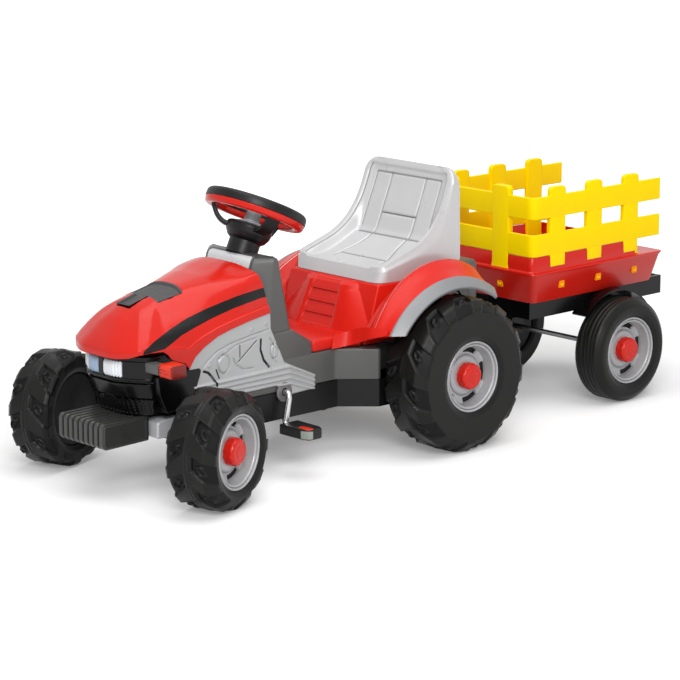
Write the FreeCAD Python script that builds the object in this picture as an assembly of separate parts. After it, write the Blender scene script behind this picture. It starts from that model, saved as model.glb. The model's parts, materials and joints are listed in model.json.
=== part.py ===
import FreeCAD, Part
import math
import os

Vec = FreeCAD.Vector

# A ride-on pedal tractor with a trailer, in millimetres.
# It is laid out from the rear axle, +X forward, +Y left, +Z up from the ground,
# and every piece is moved at the end so that X = 0 is the middle of the whole length.

# Fits shared by all pieces
running_clearance = 0.05
body_gap = 0.5
seam_gap = 0.3
cut_overrun = 4.0
same_point = 1e-6

# Wheels
rear_wheel_radius = 140.0
rear_wheel_width = 96.0
rear_track_half = 202.0
front_wheel_radius = 102.0
front_wheel_width = 91.0
kingpin_x = 574.0
kingpin_y = 180.0
spindle_offset = 30.0
trailer_wheel_radius = 101.5
trailer_wheel_width = 64.0
trailer_track_half = 159.0
trailer_axle_x = -493.0
tyre_wall = 4.0
tyre_bead_inset = 5.0
tyre_shoulder_share = 0.16
tyre_edge_share = 0.07
tyre_crown = 2.5
rim_radius = 65.0
rim_wall = 4.0
rim_flange_width = 10.0
rim_dish_depth = 24.0
rim_dish_draft = 4.0
rim_boss_radius = 37.0
rim_boss_drop = 18.0
rim_boss_draft = 2.0
hub_radius = 13.0
rim_slot_count = 6
rim_slot_inset = 2.0
rim_slot_open_share = 0.62
cap_radius = 24.0
cap_length = 20.0
cap_wall = 4.0
cap_edge = 3.0
axle_end_reach = 8.0

# Steering
steer_rest_deg = 17.6
steer_limit_deg = 25.0
kingpin_radius = 6.0
spindle_radius = 6.0
knuckle_radius = 10.0
knuckle_low_z = 90.0
knuckle_washer = 4.0
steer_arm = 40.0
steer_arm_width = 14.0
steer_arm_thickness = 6.0
tie_pin_radius = 4.0
tie_eye_radius = 9.0
tie_eye_height = 8.0
tie_rod_radius = 3.5
tie_tab_half_width = 15.0
tie_slot_slack = 1.5
open_pivot_clearance = 0.4
wheel_centre_x = 299.0
wheel_centre_z = 446.0
column_tilt_deg = 25.0
column_radius = 6.0
column_end_z = 130.0
column_bend = 9.0
column_pin_length = 38.0
steering_wheel_radius = 92.5
steering_grip_radius = 11.0
ring_split_drop = 2.0
spoke_count = 3
spoke_width = 26.0
spoke_thickness = 9.0
spoke_drop = 14.0
spider_hub_radius = 40.0
spider_hub_height = 30.0
sleeve_radius = 25.0
pad_radius = 33.0
pad_height = 12.0
pad_edge = 4.0

# Clamshell body: black chassis below the axle plane, grey shell above it
body_half = 96.0
body_wall = 5.0
chassis_bottom_z = 91.0
chassis_floor = 2.5
chassis_front_ahead = -34.0
flare_half = 147.0
flare_front_x = 192.0
flare_rear_x = 138.0
body_rear_x = -75.0
deck_z = 197.0
tunnel_rear_x = 250.0
tunnel_rear_z = 219.0
cowl_rear_x = 296.0
cowl_bottom_z = 247.0
tunnel_level_x = 400.0
tunnel_front_z = 200.0
tail_length = 80.0
tail_half = 106.0
tail_low_z = 205.0
tail_top_z = 288.0
tail_hump_z = 316.0
tail_web = 18.0

# Hitch
hitch_x = -165.0
hitch_pin_radius = 6.0
hitch_pin_head_radius = 10.0
hitch_pin_head = 6.0
hitch_half = 25.0
hitch_plate = 11.0
hitch_lip = 20.0
hitch_tongue_z = 112.0
hitch_post_front_x = -112.0
hitch_post_rear_x = -138.0

# Drive
crank_x = 321.0
crank_arm = 58.0
crank_rest_deg = 12.0
crank_arm_y = 113.0
crank_bend = 9.0
rod_radius = 6.0
bush_radius = 11.0
bush_flange_radius = 17.0
bush_flange = 4.0
chain_pitch = 12.7
drive_teeth = 18
driven_teeth = 12
sprocket_width = 4.0
tooth_depth = 5.0
chain_y = -30.0
chain_width = 8.0
chain_thickness = 6.0
chain_clearance = 0.6
pedal_inner_y = 122.0
pedal_length = 73.0
pedal_depth = 44.0
pedal_thickness = 18.0
pedal_corner = 6.0
reflector_length = 40.0
reflector_depth = 9.0
reflector_height = 9.0
spindle_cap = 4.0

# Dash cowl
cowl_wall = 4.0
cowl_top_z = 379.0
cowl_top_front_x = 358.0
cowl_top_front_half = 61.5
cowl_top_corner_x = 333.0
cowl_top_corner_half = 88.0
cowl_top_rear_x = 322.0
cowl_low_front_x = 402.0
cowl_low_front_half = 58.0
cowl_low_corner_x = 352.0
cowl_low_corner_half = 91.0

# Bonnet
hood_wall = 4.0
hood_rear_x = 383.0
hood_rear_z = 361.0
hood_skirt_x = 355.0
hood_skirt_z = 288.0
hood_brow_ahead = 23.0
hood_brow_z = 316.0
hood_lip_ahead = 84.0
hood_lip_z = 243.0
hood_half = 96.0
hood_front_half = 92.0
hood_lip_half = 54.0
hood_edge = 30.0
hood_rear_crown_share = 0.8
hood_rear_crown_drop = 40.0
hood_crown_share = 0.36
hood_crown_drop = 72.0
hood_arch_ahead = -47.0
hood_arch_z = 216.0
hood_cheek_ahead = -3.0
hood_cheek_z = 250.0
vent_rear_ahead = -70.0
vent_step_ahead = -23.0
vent_front_ahead = 20.0
vent_rear_half = 46.0
vent_step_half = 42.0
vent_tongue_half = 17.0
vent_depth = 3.0

# Engine panels
panel_thickness = 4.0
panel_front_z = 165.0
panel_rear_x = 252.0
panel_rear_z = 142.0
panel_bend_x = 345.0
panel_rib_count = 3
panel_rib_height = 6.0
panel_rib_rise = 3.0
panel_rib_pitch = 12.0

# Nose, lamps and front end
nose_rear_ahead = -49.0
nose_front_ahead = 74.0
nose_half = 87.0
nose_front_half = 58.0
nose_chin_ahead = 48.0
nose_chin_z = 138.0
nose_groove_z = 199.0
nose_groove_depth = 8.0
nose_groove_height = 7.0
lamp_inner_y = 5.0
lamp_outer_y = 57.0
lamp_low_z = 208.0
lamp_top_z = 235.0
lamp_depth = 14.0
signal_ahead = 22.0
signal_z = 228.0
signal_arm_radius = 8.0
signal_arm_end_y = 112.0
signal_lens_length = 40.0
signal_lens_depth = 36.0
signal_lens_height = 24.0
signal_lens_edge = 5.0
weight_rear_ahead = 22.0
weight_front_ahead = 121.0
weight_half = 62.0
weight_low_z = 88.0
weight_top_z = 141.0
weight_slab_count = 8
weight_groove_width = 4.0
weight_groove_depth = 5.0
weight_edge = 10.0
axle_box_half = 80.0
axle_box_low_z = 96.0
axle_beam_half = 10.0
axle_sleeve_radius = 11.0
axle_sleeve_low_z = 112.0
axle_sleeve_top_z = 132.0

# Seat base and mudguards
base_wall = 4.0
base_rear_x = -74.0
panel_tile_half_low = 48.5
panel_tile_half_top = 41.0
panel_tile_low_x = 160.0
panel_tile_top_x = 128.0
base_half = 124.0
flange_rise = 22.0
flange_half = 95.0
fender_centre_z = 130.0
fender_low_z = 229.0
fender_radius = 207.0
fender_crest_y = 165.0
fender_lip_radius = 183.0
fender_lip_y = 190.0
fender_edge = 14.0
fender_front_deg = 20.0
fender_rear_deg = 120.0
trim_inner_radius = 167.0
trim_outer_y = 210.0
trim_rear_deg = 125.0

# Seat
seat_bottom_z = 303.0
seat_front_x = 108.0
seat_lip_x = 96.0
seat_lip_z = 328.0
seat_half = 117.0
seat_back_half = 113.0
seat_top_z = 492.0
seat_top_x = -76.0
seat_top_thickness = 14.0
seat_rear_x = -98.0
seat_shoulder_x = -36.0
seat_shoulder_z = 376.0
seat_pan_z = 322.0
seat_pan_rear_x = -42.0
seat_pan_rear_z = 345.0
seat_wall = 12.0
seat_pan_wall = 6.0
seat_corner = 30.0
seat_screw_front_x = 62.0
seat_screw_rear_x = 6.0
seat_screw_y = 60.0
seat_screw_radius = 2.5
seat_screw_head_radius = 6.0
seat_screw_head = 3.0

# Trailer
tray_wall = 4.0
tray_low_z = 218.0
tray_low_half = 125.0
tray_low_front_x = -284.0
tray_low_rear_x = -613.0
ledge_z = 272.0
ledge_half = 142.0
ledge_thickness = 5.0
ledge_front_x = -268.0
ledge_rear_x = -635.0
ledge_side_inset = 7.0
tray_rim_z = 302.0
tray_rim_inset = 3.0
tray_corner = 18.0
fence_half = 126.5
fence_front_x = -282.0
fence_rear_x = -631.0
fence_wall = 6.0
fence_corner = 16.0
fence_rail_height = 42.0
fence_low_rail_z = 303.0
fence_high_rail_z = 374.0
fence_post_width = 44.0
fence_post_top_z = 432.0
fence_post_extra = 3.0
fence_side_post_xs = (-340.0, -443.0, -547.0)
fence_front_post_ys = (48.0, -92.0)
latch_width = 26.0
latch_height = 22.0
latch_thickness = 6.0
trailer_frame_half = 118.0
trailer_frame_low_z = 182.0
trailer_frame_front_x = -280.0
trailer_frame_rear_x = -656.0
trailer_frame_wall = 6.0
trailer_axle_radius = 5.0
guard_radius = 115.0
guard_thickness = 3.5
guard_outer_y = 150.0
guard_front_deg = 40.0
hanger_half_width = 26.0
hanger_foot_radius = 14.0
drawbar_half = 15.0
drawbar_height = 22.0
drawbar_eye_radius = 20.0
drawbar_rear_x = -420.0
drawbar_wall = 3.0

# Values worked out from those above
axle_z = rear_wheel_radius
front_axle_z = front_wheel_radius
trailer_axle_z = trailer_wheel_radius
tilt = math.radians(column_tilt_deg)
up_column = Vec(-math.sin(tilt), 0, math.cos(tilt))
wheel_centre = Vec(wheel_centre_x, 0, wheel_centre_z)
drawbar_top_z = trailer_frame_low_z
drawbar_low_z = drawbar_top_z - drawbar_height

# The front end stands on the front axle, so its places follow the kingpins
chassis_front_x = kingpin_x + chassis_front_ahead
hood_brow_x = kingpin_x + hood_brow_ahead
hood_lip_x = kingpin_x + hood_lip_ahead
hood_arch_x = kingpin_x + hood_arch_ahead
hood_cheek_x = kingpin_x + hood_cheek_ahead
vent_rear_x = kingpin_x + vent_rear_ahead
vent_step_x = kingpin_x + vent_step_ahead
vent_front_x = kingpin_x + vent_front_ahead
nose_rear_x = kingpin_x + nose_rear_ahead
nose_front_x = kingpin_x + nose_front_ahead
nose_chin_x = kingpin_x + nose_chin_ahead
signal_x = kingpin_x + signal_ahead
weight_rear_x = kingpin_x + weight_rear_ahead
weight_front_x = kingpin_x + weight_front_ahead

pieces = {}


# Helpers

def rounded_face(points, radii=None):
    """Flat face of straight runs; a corner with a radius is an arc, the others stay sharp."""
    corners = [Vec(*point) for point in points]
    count = len(corners)
    radii = radii or [0] * count
    runs = []
    for index, corner in enumerate(corners):
        before = corners[index - 1] - corner
        after = corners[(index + 1) % count] - corner
        radius = radii[index]
        if radius == 0:
            runs.append((corner, None, corner))
            continue
        half = before.getAngle(after) / 2
        before.normalize()
        after.normalize()
        reach = radius / math.tan(half)
        middle = before + after
        middle.normalize()
        top = corner + middle * (radius / math.sin(half) - radius)
        runs.append((corner + before * reach, top, corner + after * reach))
    edges = []
    for index, (start, top, end) in enumerate(runs):
        if top is not None:
            edges.append(Part.Arc(start, top, end).toShape())
        onward = runs[(index + 1) % count][0]
        if not end.isEqual(onward, same_point):
            edges.append(Part.makeLine(end, onward))
    return Part.Face(Part.Wire(edges))


def along_x(outline, x_from, x_to, radii=None):
    """Prism of a (y, z) outline between two X planes."""
    return rounded_face([(x_from, y, z) for y, z in outline], radii).extrude(Vec(x_to - x_from, 0, 0))


def along_y(outline, y_from, y_to, radii=None):
    """Prism of an (x, z) outline between two Y planes."""
    return rounded_face([(x, y_from, z) for x, z in outline], radii).extrude(Vec(0, y_to - y_from, 0))


def along_z(outline, z_from, z_to, radii=None):
    """Prism of an (x, y) outline between two Z planes."""
    return rounded_face([(x, y, z_from) for x, y in outline], radii).extrude(Vec(0, 0, z_to - z_from))


def block(x_from, x_to, y_from, y_to, z_from, z_to):
    """Box between two corners."""
    return Part.makeBox(x_to - x_from, y_to - y_from, z_to - z_from, Vec(x_from, y_from, z_from))


def both_sides(half):
    """Closed outline from its half on the left, front to rear, mirrored to the right."""
    return list(half) + [(x, -y) for x, y in reversed(half)]


def drawn_in(outline, distance):
    """An (x, y) outline with every side moved towards its inside by a distance."""
    count = len(outline)
    area = sum(outline[i - 1][0] * outline[i][1] - outline[i][0] * outline[i - 1][1] for i in range(count))
    turn = math.copysign(1, area)
    lines = []
    for index in range(count):
        (x, y), (next_x, next_y) = outline[index], outline[(index + 1) % count]
        length = math.hypot(next_x - x, next_y - y)
        across = (-turn * (next_y - y) / length, turn * (next_x - x) / length)
        lines.append((across, across[0] * x + across[1] * y + distance))
    corners = []
    for index in range(count):
        (a, b), reach = lines[index - 1]
        (c, d), onward = lines[index]
        cross = a * d - b * c
        corners.append(((reach * d - onward * b) / cross, (a * onward - c * reach) / cross))
    return corners


def both_radii(radii):
    """Corner radii for an outline made by both_sides."""
    return list(radii) + list(reversed(radii))


def bar(start, end, radius):
    """Round bar between two points."""
    return Part.makeCylinder(radius, (end - start).Length, start, end - start)


def fused(shapes):
    """One solid of all the shapes, without the seams between coplanar faces."""
    return shapes[0].multiFuse(shapes[1:]).removeSplitter()


def mirrored(shape):
    """The shape on the other side of the tractor."""
    return shape.mirror(Vec(), Vec(0, 1, 0))


def turned(points, sweep_deg=360.0, start_deg=0.0, radii=None):
    """Solid of a (radius, y) outline turned about the Y axis, upwards from the front."""
    face = rounded_face([(radius, y, 0) for radius, y in points], radii)
    solid = face.revolve(Vec(), Vec(0, -1, 0), sweep_deg)
    solid.rotate(Vec(), Vec(0, -1, 0), start_deg)
    return solid


def moved(shape, x, y, z):
    """The shape shifted."""
    return shape.translated(Vec(x, y, z))


def lofted(outlines):
    """Ruled solid through closed outlines of (x, y, z) points."""
    wires = [Part.makePolygon([Vec(*point) for point in outline + outline[:1]]) for outline in outlines]
    return Part.makeLoft(wires, True, True)


def bent_bar(points, radius, bend):
    """Round bar along straight runs whose corners are bent to one radius."""
    corners = [Vec(*point) for point in points]
    edges = []
    last = corners[0]
    for before, corner, after in zip(corners, corners[1:], corners[2:]):
        back = before - corner
        onward = after - corner
        half = back.getAngle(onward) / 2
        back.normalize()
        onward.normalize()
        middle = back + onward
        middle.normalize()
        start = corner + back * (bend / math.tan(half))
        end = corner + onward * (bend / math.tan(half))
        top = corner + middle * (bend / math.sin(half) - bend)
        edges.append(Part.makeLine(last, start))
        edges.append(Part.Arc(start, top, end).toShape())
        last = end
    edges.append(Part.makeLine(last, corners[-1]))
    circle = Part.Wire([Part.makeCircle(radius, corners[0], corners[1] - corners[0])])
    return Part.Wire(edges).makePipeShell([circle], True, False)


def keep(node, shape):
    """File a finished piece under its node's name."""
    pieces[node] = shape


# Wheels

def make_tyre(radius, width):
    """Blow-moulded tyre, open towards the rim, with its axis on Y and its outside at +Y."""
    side = width / 2
    bead = side - tyre_bead_inset
    bead_radius = rim_radius + seam_gap
    shoulder = radius * tyre_shoulder_share
    outline = [(bead_radius, bead), (bead_radius + shoulder, side), (radius - tyre_crown, side),
               (radius, 0)]
    outline += [(r, -y) for r, y in reversed(outline[:-1])]
    inner = [(bead_radius, bead - tyre_wall), (bead_radius + shoulder, side - tyre_wall),
             (radius - tyre_crown - tyre_wall, side - tyre_wall), (radius - tyre_wall, 0)]
    inner += [(r, -y) for r, y in reversed(inner[:-1])]
    edge = radius * tyre_edge_share
    soft = shoulder - tyre_wall
    soft_edge = edge - tyre_wall
    outer_radii = [0, shoulder, edge, 0, edge, shoulder, 0]
    inner_radii = [0, soft, soft_edge, 0, soft_edge, soft, 0]
    return turned(outline + inner[::-1], radii=outer_radii + inner_radii[::-1])


def make_rim(width, hub_inner_y, bore):
    """Dished rim with its hub tube, slotted between the flange and the boss."""
    face = width / 2 - tyre_bead_inset
    dish = face - rim_dish_depth
    boss = face - rim_boss_drop
    flange = rim_radius - rim_flange_width
    foot = flange - rim_dish_draft
    boss_foot = rim_boss_radius + rim_boss_draft
    outline = [(rim_radius, face), (flange, face), (foot, dish), (boss_foot, dish),
               (rim_boss_radius, boss), (bore, boss), (bore, hub_inner_y), (hub_radius, hub_inner_y),
               (hub_radius, boss - rim_wall), (rim_boss_radius - rim_wall, boss - rim_wall),
               (boss_foot - rim_wall, dish - rim_wall), (foot + rim_wall, dish - rim_wall),
               (rim_radius - rim_wall, face - rim_dish_depth), (rim_radius - rim_wall, -face),
               (rim_radius, -face)]
    rim = turned(outline)
    slot_high = foot - rim_slot_inset
    slot_low = boss_foot + rim_slot_inset
    slot_outline = [(slot_high, dish + cut_overrun), (slot_low, dish + cut_overrun),
                    (slot_low, dish - rim_wall - cut_overrun), (slot_high, dish - rim_wall - cut_overrun)]
    pitch = 360.0 / rim_slot_count
    sweep = pitch * rim_slot_open_share
    slots = [turned(slot_outline, sweep, pitch * index) for index in range(rim_slot_count)]
    return rim.cut(slots)


def make_cap(width):
    """Hollow hub cap that sits on the rim's boss."""
    foot = width / 2 - tyre_bead_inset - rim_boss_drop
    top = foot + cap_length
    inner = cap_radius - cap_wall
    outline = [(cap_radius, foot), (cap_radius, top), (0, top), (0, top - cap_wall),
               (inner, top - cap_wall), (inner, foot)]
    return turned(outline, radii=[0, cap_edge, 0, 0, 0, 0])


def axle_end(width):
    """How far past the wheel's middle its axle reaches, into the hub cap."""
    return width / 2 - tyre_bead_inset - rim_boss_drop + axle_end_reach


def make_wheel(name, radius, width, hub_inner_y, bore, place):
    """The three pieces of a wheel, put in place by a function."""
    keep(name + "_tyre", place(make_tyre(radius, width)))
    keep(name + "_rim", place(make_rim(width, hub_inner_y, bore)))
    keep(name + "_cap", place(make_cap(width)))


def at_side(shape, side, x, y, z):
    """A left-hand shape put at (x, y, z), turned about for the right side."""
    if side < 0:
        shape = shape.rotated(Vec(), Vec(0, 0, 1), 180.0)
    return moved(shape, x, side * y, z)


def steered(shape, side):
    """A front wheel piece turned about its kingpin to the rest angle."""
    return shape.rotated(Vec(kingpin_x, side * kingpin_y, 0), Vec(0, 0, 1), steer_rest_deg)


sides = {"left": 1, "right": -1}
rear_hub_y = flare_half + bush_flange + body_gap - rear_track_half
trailer_hub_y = trailer_frame_half + body_gap - trailer_track_half
front_hub_y = axle_sleeve_radius + body_gap - spindle_offset

for side_name, side in sides.items():
    make_wheel("rear_" + side_name, rear_wheel_radius, rear_wheel_width, rear_hub_y,
               rod_radius + running_clearance,
               lambda shape: at_side(shape, side, 0, rear_track_half, axle_z))
    make_wheel("trailer_" + side_name, trailer_wheel_radius, trailer_wheel_width, trailer_hub_y,
               trailer_axle_radius + running_clearance,
               lambda shape: at_side(shape, side, trailer_axle_x, trailer_track_half, trailer_axle_z))
    make_wheel("front_" + side_name, front_wheel_radius, front_wheel_width, front_hub_y,
               spindle_radius + running_clearance,
               lambda shape: steered(at_side(shape, side, kingpin_x, kingpin_y + spindle_offset,
                                             front_axle_z), side))


# Front axle: box, beam, knuckles and tie rod

arm_low_z = knuckle_low_z
tie_eye_top_z = arm_low_z - body_gap
tie_eye_low_z = tie_eye_top_z - tie_eye_height
tie_z = (tie_eye_top_z + tie_eye_low_z) / 2
tie_x = kingpin_x - steer_arm

axle_box = [block(chassis_front_x, weight_rear_x, -axle_box_half, axle_box_half, axle_box_low_z,
                  nose_chin_z - seam_gap),
            block(kingpin_x - axle_beam_half, kingpin_x + axle_beam_half, -kingpin_y, kingpin_y,
                  axle_sleeve_low_z, axle_sleeve_top_z)]
for side in sides.values():
    axle_box.append(bar(Vec(kingpin_x, side * kingpin_y, axle_sleeve_low_z),
                        Vec(kingpin_x, side * kingpin_y, axle_sleeve_top_z), axle_sleeve_radius))
axle_box = fused(axle_box)
for side in sides.values():
    axle_box = axle_box.cut(bar(Vec(kingpin_x, side * kingpin_y, axle_sleeve_low_z - cut_overrun),
                                Vec(kingpin_x, side * kingpin_y, axle_sleeve_top_z + cut_overrun),
                                kingpin_radius + running_clearance))
keep("front_axle_box", axle_box)

for side_name, side in sides.items():
    pin = Vec(kingpin_x, side * kingpin_y, 0)
    low = Vec(0, 0, knuckle_low_z)
    sleeve_low = Vec(0, 0, axle_sleeve_low_z - body_gap)
    sleeve_top = Vec(0, 0, axle_sleeve_top_z + body_gap)
    washer_top = Vec(0, 0, axle_sleeve_top_z + body_gap + knuckle_washer)
    spindle = Vec(0, side * (spindle_offset + axle_end(front_wheel_width)), front_axle_z)
    arm_end = Vec(kingpin_x - steer_arm, side * kingpin_y, 0)
    arm_half = steer_arm_width / 2
    knuckle = fused([
        bar(pin + low, pin + sleeve_low, knuckle_radius),
        bar(pin + low, pin + washer_top, kingpin_radius),
        bar(pin + sleeve_top, pin + washer_top, knuckle_radius),
        bar(pin + Vec(0, 0, front_axle_z), pin + spindle, spindle_radius),
        block(kingpin_x - steer_arm, kingpin_x, side * kingpin_y - arm_half, side * kingpin_y + arm_half,
              arm_low_z, arm_low_z + steer_arm_thickness),
        bar(arm_end + low, arm_end + Vec(0, 0, arm_low_z + steer_arm_thickness), arm_half),
        bar(arm_end + Vec(0, 0, tie_eye_low_z), arm_end + low, tie_pin_radius)])
    keep("knuckle_" + side_name, steered(knuckle, side))

column_end = wheel_centre - up_column * ((wheel_centre_z - column_end_z) / math.cos(tilt))
crank_way = Vec(-math.cos(tilt), 0, -math.sin(tilt))
column_arm_end = column_end + crank_way * steer_arm
column_pin_end = column_arm_end - up_column * column_pin_length
tie_slot_x = column_arm_end.x + (column_arm_end.z - tie_z) * math.tan(tilt)
tie_slot_half_x = (column_radius / math.cos(tilt) + tie_eye_height / 2 * math.tan(tilt) + tie_slot_slack)
tie_slot_half_y = column_radius + tie_slot_slack
tab_rear_x = min(tie_x, tie_slot_x - tie_slot_half_x - tie_rod_radius)
tab_front_x = max(tie_x, tie_slot_x + tie_slot_half_x + tie_rod_radius)

tie_rod = fused([
    bar(Vec(tie_x, -kingpin_y, tie_z), Vec(tie_x, kingpin_y, tie_z), tie_rod_radius),
    bar(Vec(tie_x, kingpin_y, tie_eye_low_z), Vec(tie_x, kingpin_y, tie_eye_top_z), tie_eye_radius),
    bar(Vec(tie_x, -kingpin_y, tie_eye_low_z), Vec(tie_x, -kingpin_y, tie_eye_top_z), tie_eye_radius),
    block(tab_rear_x, tab_front_x, -tie_tab_half_width, tie_tab_half_width, tie_eye_low_z,
          tie_eye_top_z)])
pin_reach = Vec(0, 0, cut_overrun)
for side, clearance in ((1, running_clearance), (-1, open_pivot_clearance)):
    eye = Vec(tie_x, side * kingpin_y, tie_eye_low_z)
    tie_rod = tie_rod.cut(bar(eye - pin_reach, eye + pin_reach + Vec(0, 0, tie_eye_height),
                              tie_pin_radius + clearance))
tie_rod = tie_rod.cut(block(tie_slot_x - tie_slot_half_x, tie_slot_x + tie_slot_half_x, -tie_slot_half_y,
                            tie_slot_half_y, tie_eye_low_z - cut_overrun, tie_eye_top_z + cut_overrun))
rest = math.radians(steer_rest_deg)
tie_shift_x = steer_arm * (1 - math.cos(rest))
tie_shift_y = -steer_arm * math.sin(rest)
keep("tie_rod", moved(tie_rod, tie_shift_x, tie_shift_y, 0))


# Steering column and wheel

def on_column(shape):
    """A piece built about Z at the steering wheel's middle, tilted and turned to the rest angle."""
    turned_shape = shape.rotated(Vec(), Vec(0, 0, 1), steer_rest_deg)
    tilted = turned_shape.rotated(Vec(), Vec(0, 1, 0), -column_tilt_deg)
    return tilted.translated(wheel_centre)


grip_middle = steering_wheel_radius - steering_grip_radius
split = -ring_split_drop
reach = steering_wheel_radius + cut_overrun
grip = Part.makeTorus(grip_middle, steering_grip_radius)
grip_reach = steering_grip_radius + cut_overrun
upper = Part.makeCylinder(reach, grip_reach, Vec(0, 0, split))
lower = Part.makeCylinder(reach, grip_reach, Vec(0, 0, split - seam_gap), Vec(0, 0, -1))
hub_top = -spoke_drop + spoke_thickness
sleeve_top_z = hub_top - spider_hub_height
dash_hole_drop = (wheel_centre_z - cowl_top_z) / math.cos(tilt)
sleeve_reach = sleeve_radius * math.tan(tilt)
sleeve_low_z = -dash_hole_drop + sleeve_reach + body_gap / math.cos(tilt)
column_top_z = hub_top - running_clearance

spider = [Part.makeCone(sleeve_radius, spider_hub_radius, spider_hub_height, Vec(0, 0, sleeve_top_z)),
          Part.makeCylinder(sleeve_radius, sleeve_top_z - sleeve_low_z, Vec(0, 0, sleeve_low_z))]
for index in range(spoke_count):
    spoke = block(0, grip_middle, -spoke_width / 2, spoke_width / 2, -spoke_drop, hub_top)
    spider.append(spoke.rotated(Vec(), Vec(0, 0, 1), 360.0 * (index + 0.5) / spoke_count))
column_bore = Part.makeCylinder(column_radius + running_clearance, column_top_z - sleeve_low_z + cut_overrun,
                                Vec(0, 0, sleeve_low_z - cut_overrun))
spider = fused(spider).cut(column_bore)
grip_room = Part.makeTorus(grip_middle, steering_grip_radius + seam_gap)
keep("steering_wheel_spider", on_column(spider.cut(grip_room)))
keep("steering_wheel_rim", on_column(grip.common(upper)))
keep("steering_wheel_ring", on_column(grip.common(lower)))

pad_outline = [(pad_radius, 0), (pad_radius, pad_height), (0, pad_height), (0, 0)]
pad = turned(pad_outline, radii=[0, pad_edge, 0, 0])
pad.rotate(Vec(), Vec(1, 0, 0), 90.0)
keep("steering_wheel_pad", on_column(moved(pad, 0, 0, hub_top + seam_gap)))

column_top = wheel_centre + up_column * column_top_z
column = bent_bar([column_top, column_end, column_arm_end, column_pin_end], column_radius, column_bend)
keep("steering_column", column.rotated(wheel_centre, up_column, steer_rest_deg))


# Chassis and body shell

plan_half = [(chassis_front_x, body_half), (flare_front_x, body_half), (flare_rear_x, flare_half),
             (body_rear_x, flare_half)]
inner_front_x = chassis_front_x - body_wall
inner_rear_x = body_rear_x + body_wall
inner_half = [(inner_front_x, body_half - body_wall), (flare_front_x - body_wall, body_half - body_wall),
              (flare_rear_x - body_wall, flare_half - body_wall), (inner_rear_x, flare_half - body_wall)]
floor_top_z = chassis_bottom_z + chassis_floor
hitch_low_z = drawbar_low_z - body_gap - hitch_plate
hitch_top_z = drawbar_top_z + body_gap + hitch_plate
hitch_rear_x = hitch_x - hitch_lip
bush_room = bush_radius + running_clearance


def axle_room(x, half):
    """Bore for the bushes of a shaft that crosses the body in the axle plane."""
    return bar(Vec(x, -half - cut_overrun, axle_z), Vec(x, half + cut_overrun, axle_z), bush_room)


column_room = bar(column_end, wheel_centre, column_radius + running_clearance)
pin_room_half = steer_arm * math.sin(math.radians(steer_limit_deg)) + column_radius + cut_overrun
pin_room_x = column_radius + cut_overrun + body_wall

chassis = fused([
    along_z(both_sides(plan_half), chassis_bottom_z, axle_z).cut(
        along_z(both_sides(inner_half), floor_top_z, axle_z + cut_overrun)),
    block(hitch_post_rear_x, inner_rear_x, -hitch_half, hitch_half, hitch_tongue_z, axle_z - seam_gap),
    block(hitch_post_rear_x, hitch_post_front_x, -hitch_half, hitch_half, hitch_tongue_z, hitch_top_z),
    block(hitch_rear_x, hitch_post_front_x, -hitch_half, hitch_half, hitch_low_z, hitch_low_z + hitch_plate),
    block(hitch_rear_x, hitch_post_front_x, -hitch_half, hitch_half, hitch_top_z - hitch_plate,
          hitch_top_z)])
pin_slot_x = column_arm_end.x + (column_arm_end.z - floor_top_z) * math.tan(tilt)
chassis = chassis.cut([
    axle_room(0, flare_half), axle_room(crank_x, body_half),
    block(pin_slot_x - pin_room_x, pin_slot_x + pin_room_x, -pin_room_half, pin_room_half,
          chassis_bottom_z - cut_overrun, floor_top_z + cut_overrun),
    bar(Vec(hitch_x, 0, hitch_low_z - cut_overrun), Vec(hitch_x, 0, hitch_top_z + cut_overrun),
        hitch_pin_radius + running_clearance)])
keep("chassis", chassis)

tunnel = [(chassis_front_x, axle_z), (chassis_front_x, tunnel_front_z), (tunnel_level_x, cowl_bottom_z),
          (cowl_rear_x, cowl_bottom_z), (tunnel_rear_x, tunnel_rear_z), (tunnel_rear_x, axle_z)]
tunnel_room = [(inner_front_x, axle_z - cut_overrun), (inner_front_x, tunnel_front_z - body_wall),
               (tunnel_level_x, cowl_bottom_z - body_wall), (cowl_rear_x, cowl_bottom_z - body_wall),
               (tunnel_rear_x + body_wall, tunnel_rear_z - body_wall), (tunnel_rear_x, deck_z - body_wall),
               (tunnel_rear_x, axle_z - cut_overrun)]
tail_rear_x = body_rear_x - tail_length
shell = fused([along_z(both_sides(plan_half), axle_z, deck_z),
               along_y(tunnel, -body_half, body_half),
               block(tail_rear_x, body_rear_x, -tail_half, tail_half, tail_low_z, tail_top_z),
               block(tail_rear_x, seat_rear_x - body_gap, -tail_half, tail_half, tail_low_z, tail_hump_z),
               block(body_rear_x - tail_web, body_rear_x, -tail_half, tail_half, axle_z, tail_low_z)])
inner_side = body_half - body_wall
shell = shell.cut([
    along_z(both_sides(inner_half), axle_z - cut_overrun, deck_z - body_wall),
    along_y(tunnel_room, -inner_side, inner_side),
    block(tail_rear_x + body_wall, body_rear_x - body_wall, body_wall - tail_half, tail_half - body_wall,
          tail_low_z - cut_overrun, tail_top_z - body_wall),
    axle_room(0, flare_half), axle_room(crank_x, body_half), column_room])
keep("body_shell", shell)

tunnel_top_z = cowl_bottom_z + seam_gap
cowl_low = both_sides([(cowl_low_front_x, cowl_low_front_half), (cowl_low_corner_x, cowl_low_corner_half),
                       (cowl_rear_x, cowl_low_corner_half)])
cowl_high = both_sides([(cowl_top_front_x, cowl_top_front_half), (cowl_top_corner_x, cowl_top_corner_half),
                        (cowl_top_rear_x, cowl_top_corner_half)])


def cowl_ring(outline, inset, z):
    """An outline of the cowl drawn in by its wall, at a height."""
    return [(x, y, z) for x, y in drawn_in(outline, inset)]


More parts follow.
